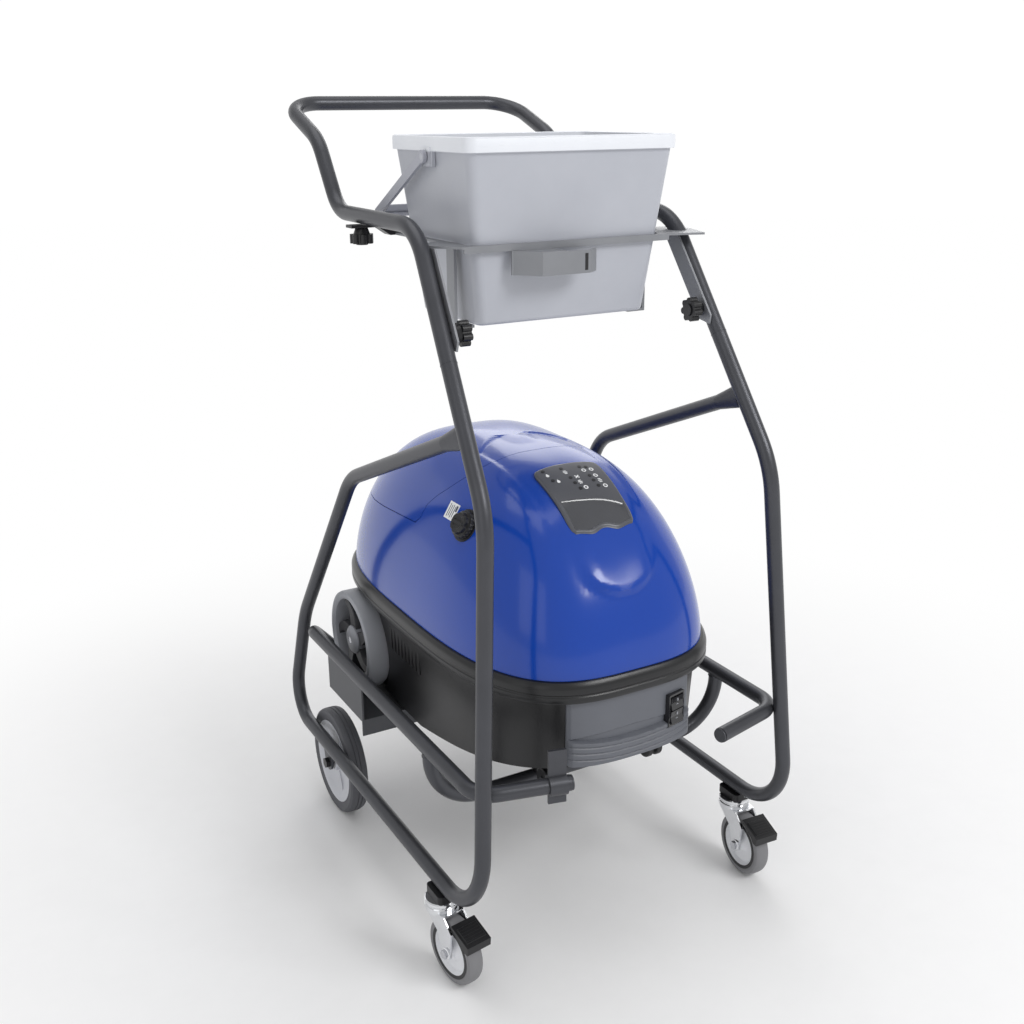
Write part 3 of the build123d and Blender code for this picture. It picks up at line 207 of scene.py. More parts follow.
# ------------------------------------------------------------------ mesh helpers
def make(name, verts, faces, mats, idx=None, angle=32.0, smooth=True):
    me = bpy.data.meshes.new(name)
    me.from_pydata([tuple(c * MM for c in v) for v in verts], [], faces)
    for m in mats:
        me.materials.append(m)
    if idx:
        for p, i in zip(me.polygons, idx):
            p.material_index = i
    bm = bmesh.new()
    bm.from_mesh(me)
    bmesh.ops.remove_doubles(bm, verts=bm.verts, dist=1e-6)
    bmesh.ops.recalc_face_normals(bm, faces=bm.faces)
    for f in bm.faces:
        f.smooth = smooth
    bm.to_mesh(me)
    bm.free()
    if smooth:
        me.set_sharp_from_angle(angle=math.radians(angle))
    o = bpy.data.objects.new(name, me)
    scene.collection.objects.link(o)
    return o


def basis(axis):
    a = Vector(axis).normalized()
    up = Vector((0, 0, 1)) if abs(a.z) < 0.9 else Vector((1, 0, 0))
    e1 = up.cross(a).normalized()
    e2 = a.cross(e1)
    return e1, e2, a


def rotated(axis, origin, r, h, ang):
    e1, e2, a = basis(axis)
    return Vector(origin) + e1 * (r * math.cos(ang)) + e2 * (r * math.sin(ang)) + a * h


class Build:
    """Collects closed pieces into one mesh with several finishes."""

    def __init__(self):
        self.v, self.f, self.i = [], [], []

    def add(self, verts, faces, mat=0):
        b = len(self.v)
        self.v += [tuple(v) for v in verts]
        self.f += [tuple(b + k for k in f) for f in faces]
        self.i += [mat] * len(faces)

    def lathe(self, profile, origin, axis, segs=72, mat=0, wobble=None):
        """Revolves a closed profile of (radius, height) pairs."""
        n = len(profile)
        e1, e2, a = basis(axis)
        o = Vector(origin)
        vs, fs = [], []
        for k in range(segs):
            t = 2 * math.pi * k / segs
            c, s = math.cos(t), math.sin(t)
            for r, h in profile:
                rr = r + (wobble(t, r, h) if wobble else 0.0)
                vs.append(o + e1 * (rr * c) + e2 * (rr * s) + a * h)
        for k in range(segs):
            k2 = (k + 1) % segs
            for j in range(n):
                j2 = (j + 1) % n
                q = (k * n + j, k2 * n + j, k2 * n + j2, k * n + j2)
                pts = [vs[x] for x in q]
                if profile[j][0] < 1e-6 and profile[j2][0] < 1e-6:
                    continue
                if profile[j][0] < 1e-6:
                    q = (q[0], q[2], q[3])
                elif profile[j2][0] < 1e-6:
                    q = (q[0], q[1], q[2])
                fs.append(q)
        self.add(vs, fs, mat)

    def prism(self, outline, origin, ex, ey, ez, h0, h1, mat=0, inset=0.0, step=0.0):
        """Extrudes a 2-D outline, with a small chamfer at the far face if inset is given."""
        o, ex, ey, ez = Vector(origin), Vector(ex), Vector(ey), Vector(ez)
        n = len(outline)
        cx = sum(p[0] for p in outline) / n
        cy = sum(p[1] for p in outline) / n
        rings = [(h0, 0.0)]
        if inset:
            rings += [(h1 - step, 0.0), (h1, inset)]
        else:
            rings += [(h1, 0.0)]
        vs = []
        for h, d in rings:
            for x, y in outline:
                L = math.hypot(x - cx, y - cy) or 1.0
                k = max(0.0, 1 - d / L)
                vs.append(o + ex * (cx + (x - cx) * k) + ey * (cy + (y - cy) * k) + ez * h)
        fs = []
        for r in range(len(rings) - 1):
            for j in range(n):
                j2 = (j + 1) % n
                fs.append((r * n + j, r * n + j2, (r + 1) * n + j2, (r + 1) * n + j))
        fs.append(tuple(range(n))[::-1])
        fs.append(tuple((len(rings) - 1) * n + j for j in range(n)))
        self.add(vs, fs, mat)

    def done(self, name, mats, body, replaces=(), slot=None, angle=32.0):
        o = make(name, self.v, self.f, mats, self.i, angle)
        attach(o, body)
        if replaces:
            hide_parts(*replaces)
        return o


def grid(nu, nv, fn, closed_u=False):
    vs = [fn(i, j) for j in range(nv) for i in range(nu)]
    fs = []
    for j in range(nv - 1):
        for i in range(nu - (0 if closed_u else 1)):
            i2 = (i + 1) % nu
            fs.append((j * nu + i, j * nu + i2, (j + 1) * nu + i2, (j + 1) * nu + i))
    return vs, fs


def bake(o):
    dg = bpy.context.evaluated_depsgraph_get()
    ev = o.evaluated_get(dg)
    me = bpy.data.meshes.new_from_object(ev)
    o.modifiers.clear()
    o.data = me
    return o


def smoothstep(x):
    x = max(0.0, min(1.0, x))
    return x * x * (3 - 2 * x)


# ------------------------------------------------------------------ machine: dome, lid, ring
A, BF, BR, Z0, H, N = 196.0, 338.0, 345.0, 446.0, 252.0, 3.18


def plan(ang, s=1.0, grow=0.0):
    c, q = math.cos(ang), math.sin(ang)
    a, b = A + grow, (BR if q > 0 else BF) + grow
    return (s * a * math.copysign(abs(c) ** (2 / N), c), s * b * math.copysign(abs(q) ** (2 / N), q))


def dome_z(x, y, grow=0.0):
    b = (BR if y > 0 else BF) + grow
    s = ((abs(x) / (A + grow)) ** N + (abs(y) / b) ** N) ** (1 / N)
    s = min(s, 0.99999)
    t = math.acos(s ** (1 / 0.6944))
    return Z0 + (H + grow) * math.sin(t) ** 1.25


def dome_n(x, y):
    e = 0.5
    zx = (dome_z(x + e, y) - dome_z(x - e, y)) / (2 * e)
    zy = (dome_z(x, y + e) - dome_z(x, y - e)) / (2 * e)
    return Vector((-zx, -zy, 1)).normalized()


def even_angles(count):
    """Plan angles spaced evenly along the outline."""
    fine = 4000
    pts = [plan(2 * math.pi * k / fine) for k in range(fine + 1)]
    acc = [0.0]
    for p, q in zip(pts, pts[1:]):
        acc.append(acc[-1] + math.hypot(q[0] - p[0], q[1] - p[1]))
    out, j = [], 0
    for i in range(count):
        want = acc[-1] * i / count
        while acc[j + 1] < want:
            j += 1
        out.append(2 * math.pi * (j + (want - acc[j]) / max(1e-9, acc[j + 1] - acc[j])) / fine)
    return out


NA = 240
ANG = even_angles(NA)
LEV = [90.0 * (i / 70.0) ** 1.0 for i in range(71)]


def detail(x, y, z):
    """Outward offset of the dome's modelled creases: top recess and front boss."""
    d = 0.0
    yb = 15.0 - 45.0 * (x / 78.0) ** 2
    side = 80.0 - abs(x)
    inside = min(side, yb - y)
    if y > -262 and z > 600:
        fade = smoothstep((y + 258.0) / 60.0)
        d -= 2.6 * smoothstep(inside / 5.0) * fade
    if y < -180 and abs(x) < 75:
        zc = 549.0 + 19.0 * (x / 50.0) ** 2
        amp = 5.0 * smoothstep((66.0 - abs(x)) / 30.0)
        if z > zc:
            d += amp * smoothstep(1 - (z - zc) / 70.0)
        else:
            d += amp * smoothstep(1 - (zc - z) / 5.0)
    return d


def dome_point(i, j):
    t = math.radians(LEV[j])
    s = math.cos(t) ** 0.6944 if LEV[j] < 89.99 else 0.0
    x, y = plan(ANG[i], s)
    z = Z0 + H * math.sin(t) ** 1.25
    p = Vector((x, y, z))
    if 2 < LEV[j] < 88:
        d = detail(x, y, z)
        if d:
            p += dome_n(x, y) * d if LEV[j] > 12 else Vector((x, y, 0)).normalized() * d
    return p


vs, fs = grid(NA, len(LEV), dome_point, True)
dome = make("dome_mesh", vs, fs, [M["blue"]], None, 50)
sol = dome.modifiers.new("wall", "SOLIDIFY")
sol.thickness = 3.4 * MM
sol.offset = -1 if dome.data.polygons[500].normal.dot(dome.data.polygons[500].center - Vector((0, 0, 0.5))) > 0 else 1
bake(dome)


def prism_obj(name, gap):
    b = Build()
    poly = [(420, 556 - gap), (176, 570 - gap), (84, 578 - gap), (10 - gap, 583 - gap), (0 - gap, 592), (-5 - gap, 613),
            (-20 - gap, 629), (-35 - gap, 641), (-56 - gap, 661), (-73 - gap, 681), (-80 - gap, 720), (-80 - gap, 760), (420, 760)]
    b.prism(poly, (-260, 0, 0), (0, 1, 0), (0, 0, 1), (1, 0, 0), 0, 520)
    return make(name, b.v, b.f, [M["blue"]], b.i, 30, False)


lid = dome.copy()
lid.data = dome.data.copy()
lid.name = "lid_mesh"
scene.collection.objects.link(lid)
cut_a, cut_b = prism_obj("cut_a", 1.1), prism_obj("cut_b", 0.0)
cap_cut = Build()
CAPN = Vector((-0.862, -0.0965, 0.4977)).normalized()
CAP = Vector((-148.0, -120.0, 613.1))
cap_cut.lathe([(0, -30), (15.6, -30), (15.6, 30), (0, 30)], CAP, CAPN, 48)
cap_cut = make("cap_cut", cap_cut.v, cap_cut.f, [M["blue"]], None, 30, False)
for o, cutter, op in ((dome, cut_a, "DIFFERENCE"), (dome, cap_cut, "DIFFERENCE"), (lid, cut_b, "INTERSECT")):
    bo = o.modifiers.new("cut", "BOOLEAN")
    bo.operation, bo.object, bo.solver = op, cutter, "EXACT"
for o in (dome, lid):
    bake(o)
    o.data.set_sharp_from_angle(angle=math.radians(38))
for c in (cut_a, cut_b, cap_cut):
    bpy.data.objects.remove(c, do_unlink=True)
for o, body, node in ((dome, "machine", "dome_shell"), (lid, "rear_lid", "rear_lid")):
    for s in range(len(o.data.materials)):
        o.data.materials[s] = M["blue"]
    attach(o, body)
    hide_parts(node)

# bumper ring with a rounded nose and a groove along its middle
prof = [(-7.5, 413.0), (2.6, 413.0), (6.4, 415.2), (8.0, 419.0), (8.0, 424.5), (7.0, 426.0), (7.0, 427.6), (8.0, 429.0),
        (7.9, 436.0), (6.2, 441.5), (3.0, 445.0), (-0.2, 445.8), (-7.5, 445.8)]
ring = Build()
rv, rf = [], []
for i in range(NA):
    for g, z in prof:
        x, y = plan(ANG[i], 1.0, g)
        rv.append((x, y, z))
n = len(prof)
for i in range(NA):
    i2 = (i + 1) % NA
    for j in range(n):
        j2 = (j + 1) % n
        rf.append((i * n + j, i2 * n + j, i2 * n + j2, i * n + j2))
ring.add(rv, rf)
ring.done("bumper_ring_skin", [M["ring"]], "machine", ["bumper_ring"], "housing_black", 28)

# ------------------------------------------------------------------ front panel: smile recess and ribs
PX = 101.0


def plan_y(x, grow):
    return -(BF + grow) * (1 - (abs(x) / (A + grow)) ** N) ** (1 / N)


def panel_bottom(x):
    return 314.0 + 3.0 * (x / PX) ** 2


def panel_pt(i, j, nu, nv):
    u = -1 + 2 * i / (nu - 1)
    v = j / (nv - 1)
    x = u * PX
    zb = panel_bottom(x)
    z = zb + (412.0 - zb) * v
    d = -2.0
    smile = 347.0 + 9.0 * u * u          # lower edge of the recessed face
    if z < smile:
        d += 5.2 * smoothstep((smile - z) / 3.0)
        for k in range(3):
            zr = smile - 9.0 - 9.5 * k
            d -= 1.9 * math.exp(-((z - zr) / 1.3) ** 2)
    lens = (347.0 + 9.0 * u * u) + 15.0 * (1 - u * u)
    if smile <= z < lens:
        d -= 2.6 * smoothstep((lens - z) / 1.5) * smoothstep((1 - abs(u)) / 0.08)
    edge = min(1 - abs(u), 1.0)
    d -= 2.2 * (1 - smoothstep(edge * PX / 4.0))
    return (x, plan_y(x, d), z)


nu, nv = 121, 141
vs, fs = grid(nu, nv, lambda i, j: panel_pt(i, j, nu, nv))
back = [(v[0], plan_y(v[0], -6.6), v[2]) for v in vs]
base = len(vs)
fs2 = [tuple(base + k for k in reversed(f)) for f in fs]
rim_loop = [i for i in range(nu)] + [j * nu + nu - 1 for j in range(1, nv)] + [(nv - 1) * nu + i for i in range(nu - 2, -1, -1)] + [
    j * nu for j in range(nv - 2, 0, -1)]
side = [(a, b, base + b, base + a) for a, b in zip(rim_loop, rim_loop[1:] + rim_loop[:1])]
panel = make("front_panel_skin", vs + back, fs + fs2 + side, [M["panel"]], None, 40)
cut = Build()
YAW = math.radians(14.0)
SC, SS = math.cos(YAW), math.sin(YAW)
SWO = Vector((70.0, -334.0, 366.0))
SWX, SWZ = Vector((SC, SS, 0)), Vector((SS, -SC, 0))
sq = [(-16.4, -24.9), (16.4, -24.9), (16.4, 24.9), (-16.4, 24.9)]
cut.prism(sq, SWO, SWX, (0, 0, 1), SWZ, -40, 40)
cut = make("sw_cut", cut.v, cut.f, [M["panel"]], None, 30, False)
bo = panel.modifiers.new("cut", "BOOLEAN")
bo.operation, bo.object, bo.solver = "DIFFERENCE", cut, "EXACT"
bake(panel)
panel.data.set_sharp_from_angle(angle=math.radians(40))
bpy.data.objects.remove(cut, do_unlink=True)
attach(panel, "machine")
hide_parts("front_panel")

# marks on the rockers
for nm, dv in (("rocker_upper", 10.8), ("rocker_lower", -10.8)):
    b = Build()
    o = SWO + Vector((0, 0, 1)) * dv + SWZ * 4.6
    b.prism([(-1.0, 2.2), (1.0, 2.2), (1.0, 6.2), (-1.0, 6.2)], o, SWX, (0, 0, 1), SWZ, -1.4, 0.35)
    b.lathe([(1.6, -0.9), (2.5, -0.9), (2.5, -0.2), (1.6, -0.2)], o + Vector((0, 0, -4.6)), SWZ, 24)
    b.done(nm + "_marks", [M["wheel_grey"]], nm, (), "grey_plastic")

# ------------------------------------------------------------------ control fascia with its prints
def hw(y):
    pts = [(-139, 36), (-143, 47), (-150, 52.5), (-158, 54), (-187, 53), (-215, 52), (-238, 52), (-247, 50.5), (-252, 46), (-257, 40)]
    if y >= pts[0][0]:
        return pts[0][1]
    for (a, wa), (b, wb) in zip(pts, pts[1:]):
        if y >= b:
            return wa + (wb - wa) * (a - y) / (a - b)
    return pts[-1][1]


def f_top(x):
    return -139.0 - 6.0 * (abs(x) / 50.0) ** 3


def f_bot(x):
    return -252.0 - 4.0 * math.sin(math.pi * min(1.0, abs(x) / 50.0)) ** 2


def window(x):
    return -214.0 - 6.0 * (x / 50.0) - 9.0 * max(0.0, x / 50.0) ** 2


def fascia_pt(i, j, nu, nv, lift):
    u = -1 + 2 * i / (nu - 1)
    v = j / (nv - 1)
    x0 = u * 50.0
    y = f_top(x0) + (f_bot(x0) - f_top(x0)) * v
    x = u * hw(y)
    edge = min((1 - abs(u)) * 50.0, v * 110.0, (1 - v) * 110.0)
    d = lift
    if lift > 0:
        d = 2.3 - 1.7 * (1 - smoothstep(edge / 3.0))
        wy = window(x)
        inw = min((wy - y) / 2.0, (46.5 - abs(x)) / 2.0, (y - f_bot(x0) - 4.0) / 2.0)
        d -= 1.3 * smoothstep(inw)
    # the fascia bridges the top recess
    p = Vector((x, y, dome_z(x, y)))
    return p + dome_n(x, y) * d


nu, nv = 91, 121
vs, fs = grid(nu, nv, lambda i, j: fascia_pt(i, j, nu, nv, 1.0))
back = [fascia_pt(i, j, nu, nv, -3.0) for j in range(nv) for i in range(nu)]
base = len(vs)
fs2 = [tuple(base + k for k in reversed(f)) for f in fs]
rim_loop = [i for i in range(nu)] + [j * nu + nu - 1 for j in range(1, nv)] + [(nv - 1) * nu + i for i in range(nu - 2, -1, -1)] + [
    j * nu for j in range(nv - 2, 0, -1)]
side = [(a, b, base + b, base + a) for a, b in zip(rim_loop, rim_loop[1:] + rim_loop[:1])]
idx = []
for f in fs:
    c = sum((Vector(vs[k]) for k in f), Vector()) / 4
    dark = c.y < window(c.x) - 0.5 and abs(c.x) < 46 and c.y > f_bot(c.x) + 4.2
    idx.append(1 if dark else 0)
idx += [0] * (len(fs2) + len(side))
me_ob = make("control_fascia_skin", vs + back, fs + fs2 + side, [M["fascia"], M["fascia_dark"]], None, 45)
for p in me_ob.data.polygons:
    c = p.center / MM
    if p.normal.z > 0.1 and c.y < window(c.x) - 0.5 and abs(c.x) < 46 and c.y > f_bot(c.x) + 4.2:
        p.material_index = 1
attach(me_ob, "machine")
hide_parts("control_fascia")


def on_fascia(b, x, y, outline, mat, h=0.35, spin=0.0):
    nrm = dome_n(x, y)
    ex = Vector((1, 0, 0)) - nrm * nrm.x
    ex.normalize()
    ey = nrm.cross(ex)
    c, s = math.cos(spin), math.sin(spin)
    o = Vector((x, y, dome_z(x, y))) + nrm * 2.3
    b.prism([(c * p - s * q, s * p + c * q) for p, q in outline], o, ex, ey, nrm, -0.6, h, mat)


def disc(r, n=16):
    return [(r * math.cos(2 * math.pi * k / n), r * math.sin(2 * math.pi * k / n)) for k in range(n)]


def rect(w, h):
    return [(-w / 2, -h / 2), (w / 2, -h / 2), (w / 2, h / 2), (-w / 2, h / 2)]


pr = Build()
dark = [(-39.1, -150.7), (-10.4, -152.4), (18.9, -154.7), (28.2, -157.1), (-7.6, -174.0), (-6.9, -184.9), (-4.6, -195.6),
        (22.9, -176.0), (23.5, -185.5), (25.1, -195.9), (-36.0, -173.0)]
white = [(-37.9, -161.1, "drop"), (-9.0, -161.6, "bars"), (-29.0, -176.5, "drop"), (2.8, -174.2, "cross"), (1.8, -184.6, "bars"),
         (4.5, -195.4, "ring"), (20.8, -163.6, "ring"), (33.3, -163.6, "ring"), (32.0, -177.0, "ring"), (33.0, -187.2, "bars"), (35.5, -197.4, "ring")]
for x, y in dark:
    on_fascia(pr, x, y, disc(2.9), 0, 0.5)
for x, y, kind in white:
    if kind == "drop":
        on_fascia(pr, x, y, [(0, 4.2), (2.6, -0.4), (2.0, -2.6), (0, -3.4), (-2.0, -2.6), (-2.6, -0.4)], 1)
    elif kind == "bars":
        for dy in (-2.6, 0.0, 2.6):
            on_fascia(pr, x, y + dy, rect(6.6 - abs(dy) * 0.8, 1.5), 1)
    elif kind == "cross":
        on_fascia(pr, x, y, rect(8.0, 1.7), 1, 0.35, 0.7)
        on_fascia(pr, x, y, rect(8.0, 1.7), 1, 0.33, -0.7)
    else:
        nrm = dome_n(x, y)
        o = Vector((x, y, dome_z(x, y))) + nrm * 2.3
        pr.lathe([(2.0, -0.5), (3.6, -0.5), (3.6, 0.35), (2.0, 0.35)], o, nrm, 24, 1)
pr.done("fascia_prints", [M["black"], M["white"]], "machine", (), "grey_plastic")

# ------------------------------------------------------------------ water cap and label
cap = Build()


def capwob(t, r, h):
    return -1.3 * (0.5 + 0.5 * math.cos(t * 22)) if r > 19.5 and 2.2 < h < 7.0 else 0.0


def gripwob(t, r, h):
    return -1.8 * max(0.0, math.cos(t * 6)) if r > 13.5 and h > 8.0 else 0.0


cap.lathe([(0, -12), (12.9, -12), (13.4, -11), (13.4, 1.4), (20.6, 1.6), (21.0, 2.4), (21.0, 6.0), (19.8, 7.2), (17.4, 7.6),
           (16.6, 8.4), (16.4, 13.6), (14.6, 15.4), (10, 15.2), (8.5, 14.2), (0, 14.0)], CAP, CAPN, 132, 0,
          lambda t, r, h: capwob(t, r, h) + gripwob(t, r, h))
e1, e2, _ = basis(CAPN)
cap.prism(rect(26, 5.0), CAP + CAPN * 14.0, e1, e2, CAPN, -0.5, 3.0, 0, 0.8, 0.8)
cap.done("water_cap_skin", [M["black"]], "water_cap", ["water_cap"], "black_plastic", 30)
collar = Build()
collar.lathe([(15.7, -4.0), (23.6, -4.0), (24.4, -1.0), (23.8, 1.0), (15.7, 1.2)], CAP, CAPN, 64)
collar.done("filler_collar", [M["black"]], "machine", (), "black_plastic")
lb = Build()
LX, LY = -146.5, -76.0
nrm = dome_n(LX, LY)
o = Vector((LX, LY, dome_z(LX, LY)))
ey = Vector((0, 1, 0)) - nrm * nrm.y
ey.normalize()
ex = ey.cross(nrm)
lb.prism(rect(26, 27), o, ex, ey, nrm, -1.2, 0.5, 0)
for k in range(4):
    lb.prism([(p, q + 8.5 - 4.6 * k) for p, q in rect(20 - 3 * (k % 2), 1.5)], o, ex, ey, nrm, 0.2, 0.62, 1)
lb.prism([(p + 6, q - 9.5) for p, q in rect(9, 4.5)], o, ex, ey, nrm, 0.2, 0.62, 1)
lb.done("warning_label", [M["white"], M["ink"]], "machine", (), "tank_plastic")

# ------------------------------------------------------------------ housing trim
tr = Build()
for s in (-1, 1):
    for k in range(9):
        y = -30.0 + 13.0 * k
        x = s * ((A - 10.0) * (1 - (abs(y) / (BR if y > 0 else BF)) ** N) ** (1 / N))
        tr.prism([(y - 3.4, 352.0), (y + 3.4, 352.0), (y + 3.4, 392.0), (y - 3.4, 392.0)], (x, 0, 0), (0, 1, 0), (0, 0, 1), (s, 0, 0), -4.0, 2.0, 0, 1.4, 1.2)
tr.done("housing_vents", [M["black"]], "machine", (), "housing_black")

# ------------------------------------------------------------------ trolley rear wheels
for s, side in ((-1, "left"), (1, "right")):
    c = (s * 231.8, 217.0, 92.5)
    ax = (s, 0, 0)
    t = Build()
    tread = [(82.0, -15.2), (86.0, -15.8), (90.2, -13.6), (91.9, -10.0), (92.5, -5.5), (92.5, -4.2), (91.3, -3.9), (91.3, -2.7), (92.5, -2.4),
             (92.5, 2.4), (91.3, 2.7), (91.3, 3.9), (92.5, 4.2), (92.5, 5.5), (91.9, 10.0), (90.2, 13.6), (86.0, 15.8), (82.0, 15.2),
             (79.0, 14.4), (76.5, 13.9), (72.5, 13.5), (72.5, -13.5), (76.5, -13.9), (79.0, -14.4)]
    t.lathe(tread, c, ax, 128)
    t.done("rear_tyre_skin_" + side, [M["tyre_dark"]], "rear_wheel_" + side, ["rear_tyre_" + side], "tyre_rubber", 30)
    r = Build()
    dish = [(6.05, 15.2), (15.5, 15.2), (17.0, 13.8), (17.6, 6.5), (21.0, 5.0), (38.0, 3.6), (52.0, 4.8), (60.0, 8.6), (64.0, 11.6), (69.0, 13.9),
            (72.3, 14.0), (72.3, -14.0), (69.0, -13.9), (65.0, -9.0), (60.0, 4.6), (52.0, 1.0), (38.0, -0.4), (21.0, 1.0), (17.4, -6.0), (17.0, -14.0),
            (15.5, -15.2), (6.05, -15.2)]
    r.lathe(dish, c, ax, 128)
    for k in range(5):
        a0 = 2 * math.pi * k / 5
        e1, e2, a3 = basis(ax)
        d1 = e1 * math.cos(a0) + e2 * math.sin(a0)
        d2 = a3.cross(d1)
        r.prism([(19, -2.2), (62, -1.6), (62, 1.6), (19, 2.2)], c, d1, d2, a3, 0.5, 6.8, 0, 0.8, 0.8)
    r.done("rear_rim_skin_" + side, [M["rim"]], "rear_wheel_" + side, ["rear_rim_" + side], "rim_plastic", 30)

# ------------------------------------------------------------------ machine wheels
for s, side in ((-1, "left"), (1, "right")):
    c = Vector((s * 196.0, 186.0, 328.5))
    ax = Vector((s, 0, 0))
    w = Build()
    w.lathe([(70.5, -17.0), (79.0, -19.6), (82.6, -18.0), (84.0, -14.0), (84.0, 14.0), (82.6, 18.0), (79.0, 19.6), (74.0, 19.0), (70.5, 16.0), (69.0, 10.0), (69.0, -10.0)],
            c, ax, 112, 0)
    w.lathe([(6.05, -12.0), (22.0, -12.0), (24.0, -9.0), (24.0, 13.0), (20.0, 16.5), (12.0, 18.5), (6.05, 18.5)], c, ax, 64, 0)
    e1, e2, a3 = basis(ax)
    for k in range(5):
        a0 = 2 * math.pi * k / 5 + 0.35
        pts = []
        for q in range(9):
            f = q / 8
            rr = 20 + 51 * f
            an = a0 + 0.42 * f * f
            wd = 11.5 - 3.5 * f
            pts.append((rr, an, wd))
        out = [(rr * math.cos(an) - wd * math.sin(an), rr * math.sin(an) + wd * math.cos(an)) for rr, an, wd in pts]
        inn = [(rr * math.cos(an) + wd * math.sin(an), rr * math.sin(an) - wd * math.cos(an)) for rr, an, wd in reversed(pts)]
        # spokes get the dark finish as painted shade: same grey plastic as the ring, darkened where shadow falls on
        # them
        w.prism(inn[::-1] + out[::-1], c, e1, e2, a3, -8.0, 11.0, 1, 1.2, 1.5)
    w.done("machine_wheel_skin_" + side, [M["wheel_grey"], M["fork_dark_and_spoke_shade"]], "machine_wheel_" + side, ["machine_wheel_" + side], "grey_plastic", 34)

# ------------------------------------------------------------------ front casters
for s, side, yaw in ((-1, "left", 9.5), (1, "right", -3.3)):
    cy, sy = math.cos(math.radians(yaw)), math.sin(math.radians(yaw))
    head = Vector((s * 262.7, -249.0, 0))
    lx, ly = Vector((cy, sy, 0)), Vector((-sy, cy, 0))
    at = lambda x, y, z: head + lx * x + ly * y + Vector((0, 0, z))
    wc = at(0, -33, 50)
    t = Build()
    t.lathe([(41.0, -11.9), (44.5, -12.4), (47.6, -11.0), (49.3, -8.0), (50.0, -4.0), (50.0, 4.0), (49.3, 8.0), (47.6, 11.0), (44.5, 12.4), (41.0, 11.9),
             (38.5, 11.2), (36.2, 11.0), (36.2, -11.0), (38.5, -11.2)], wc, lx, 96)
    t.done("caster_tyre_skin_" + side, [M["tyre_light"]], "caster_wheel_" + side, ["caster_tyre_" + side], "caster_rubber", 30)
    k = Build()
    k.lathe([(4.06, -14.2), (9.6, -14.2), (10.0, -9.0), (16.0, -5.5), (30.0, -6.0), (33.5, -11.4), (36.0, -11.4), (36.0, 11.4), (33.5, 11.4), (30.0, 6.0),
             (16.0, 5.5), (10.0, 9.0), (9.6, 14.2), (4.06, 14.2)], wc, lx, 80, 0)
    k.lathe([(34.6, -12.0), (39.8, -12.2), (39.8, -11.0), (34.6, -11.0)], wc, lx, 80, 1)
    k.lathe([(34.6, 12.0), (39.8, 12.2), (39.8, 11.0), (34.6, 11.0)], wc, lx, 80, 1)
    k.done("caster_core_skin_" + side, [M["core_white"], M["black"]], "caster_wheel_" + side, ["caster_core_" + side], "rim_plastic", 30)
    # the axle's bolt heads outside the fork
    g = Build()
    # stamped flutes and nut on the fork
    for d in (-1, 1):
        g.lathe([(4.1, 17.9), (9.5, 17.9), (9.5, 18.6), (8.0, 19.4), (4.1, 19.4)], at(0, -33, 50), lx * d, 40, 0)
    for q, (rr, hh) in enumerate(((22.6, 113.0), (24.2, 110.2), (22.8, 107.2))):
        g.lathe([(rr - 5.5, -1.4), (rr - 0.8, -1.4), (rr, -0.5), (rr, 0.5), (rr - 0.8, 1.4), (rr - 5.5, 1.4)], at(0, 0, hh), (0, 0, 1), 64, 0)
    g.done("caster_raceway_" + side, [M["chrome"]], "caster_" + side, (), "chrome", 30)
    p = Build()
    ez = (lx.cross(ly * -1)).normalized()
    nrm = (ly * -0.357 + Vector((0, 0, 1)) * 0.934).normalized()
    fw = nrm.cross(lx).normalized()
    if fw.dot(ly) > 0:
        fw = -fw
    top = at(0, -70, 99.2)
    p.prism([(-16.5, -13.0), (16.5, -13.0), (16.5, 13.0), (-16.5, 13.0)], top, lx, fw, nrm, -1.5, 1.3, 0, 1.2, 1.2)
    for q in range(5):
        p.prism([(-14.0, -9.6 + 4.6 * q), (14.0, -9.6 + 4.6 * q), (14.0, -8.0 + 4.6 * q), (-14.0, -8.0 + 4.6 * q)], top, lx, fw, nrm, 0.8, 2.0, 0, 0.3, 0.3)
    p.done("pedal_grip_" + side, [M["black"]], "brake_pedal_" + side, (), "black_plastic", 30)

# caster stems and adapter rings under the bottom bars
st = Build()
for s in (-1, 1):
    st.lathe([(5.0, 113.8), (23.5, 113.8), (24.0, 114.6), (24.0, 118.4), (22.4, 119.8), (5.0, 119.8)], (s * 262.7, -249, 0), (0, 0, 1), 64)
    st.lathe([(5.9, 99.2), (6.0, 99.2), (6.0, 114.0), (5.9, 114.0)], (s * 262.7, -249, 0), (0, 0, 1), 32)
    st.lathe([(0, 99.0), (5.95, 99.0), (5.95, 114.4), (0, 114.4)], (s * 262.7, -249, 0), (0, 0, 1), 32)
st.done("caster_head_skins", [M["chrome"]], "trolley", ["caster_heads"], "chrome", 30)

# ------------------------------------------------------------------ weld beads and joint collars
wb = Build()


def halfw(z):
    return 261.0 - 0.0658 * (z - 143.0)


for s in (-1, 1):
    z = 866.7
    y = -327.3 + (z - 697.9) * (113.4 / 168.6)
    d = Vector((-s * 0.0658 * 168.6, 113.4, 168.6)).normalized()
    wb.lathe([(10.6, -0.9), (11.35, -0.6), (11.35, 0.6), (10.6, 0.9)], (s * halfw(z), y, z), d, 64)
    # bead where the bottom of the front cross tube meets the rail
    wb.lathe([(10.0, -1.6), (11.9, -1.0), (11.4, 1.4), (10.0, 1.6)], (s * 251.0, -201.0, 315.6), (0, 0, 1), 48, 0,
             lambda t, r, h: 0.35 * math.sin(t * 17) if r > 11 else 0)
wb.done("weld_beads", [M["powder"]], "trolley", (), "frame_grey", 40)

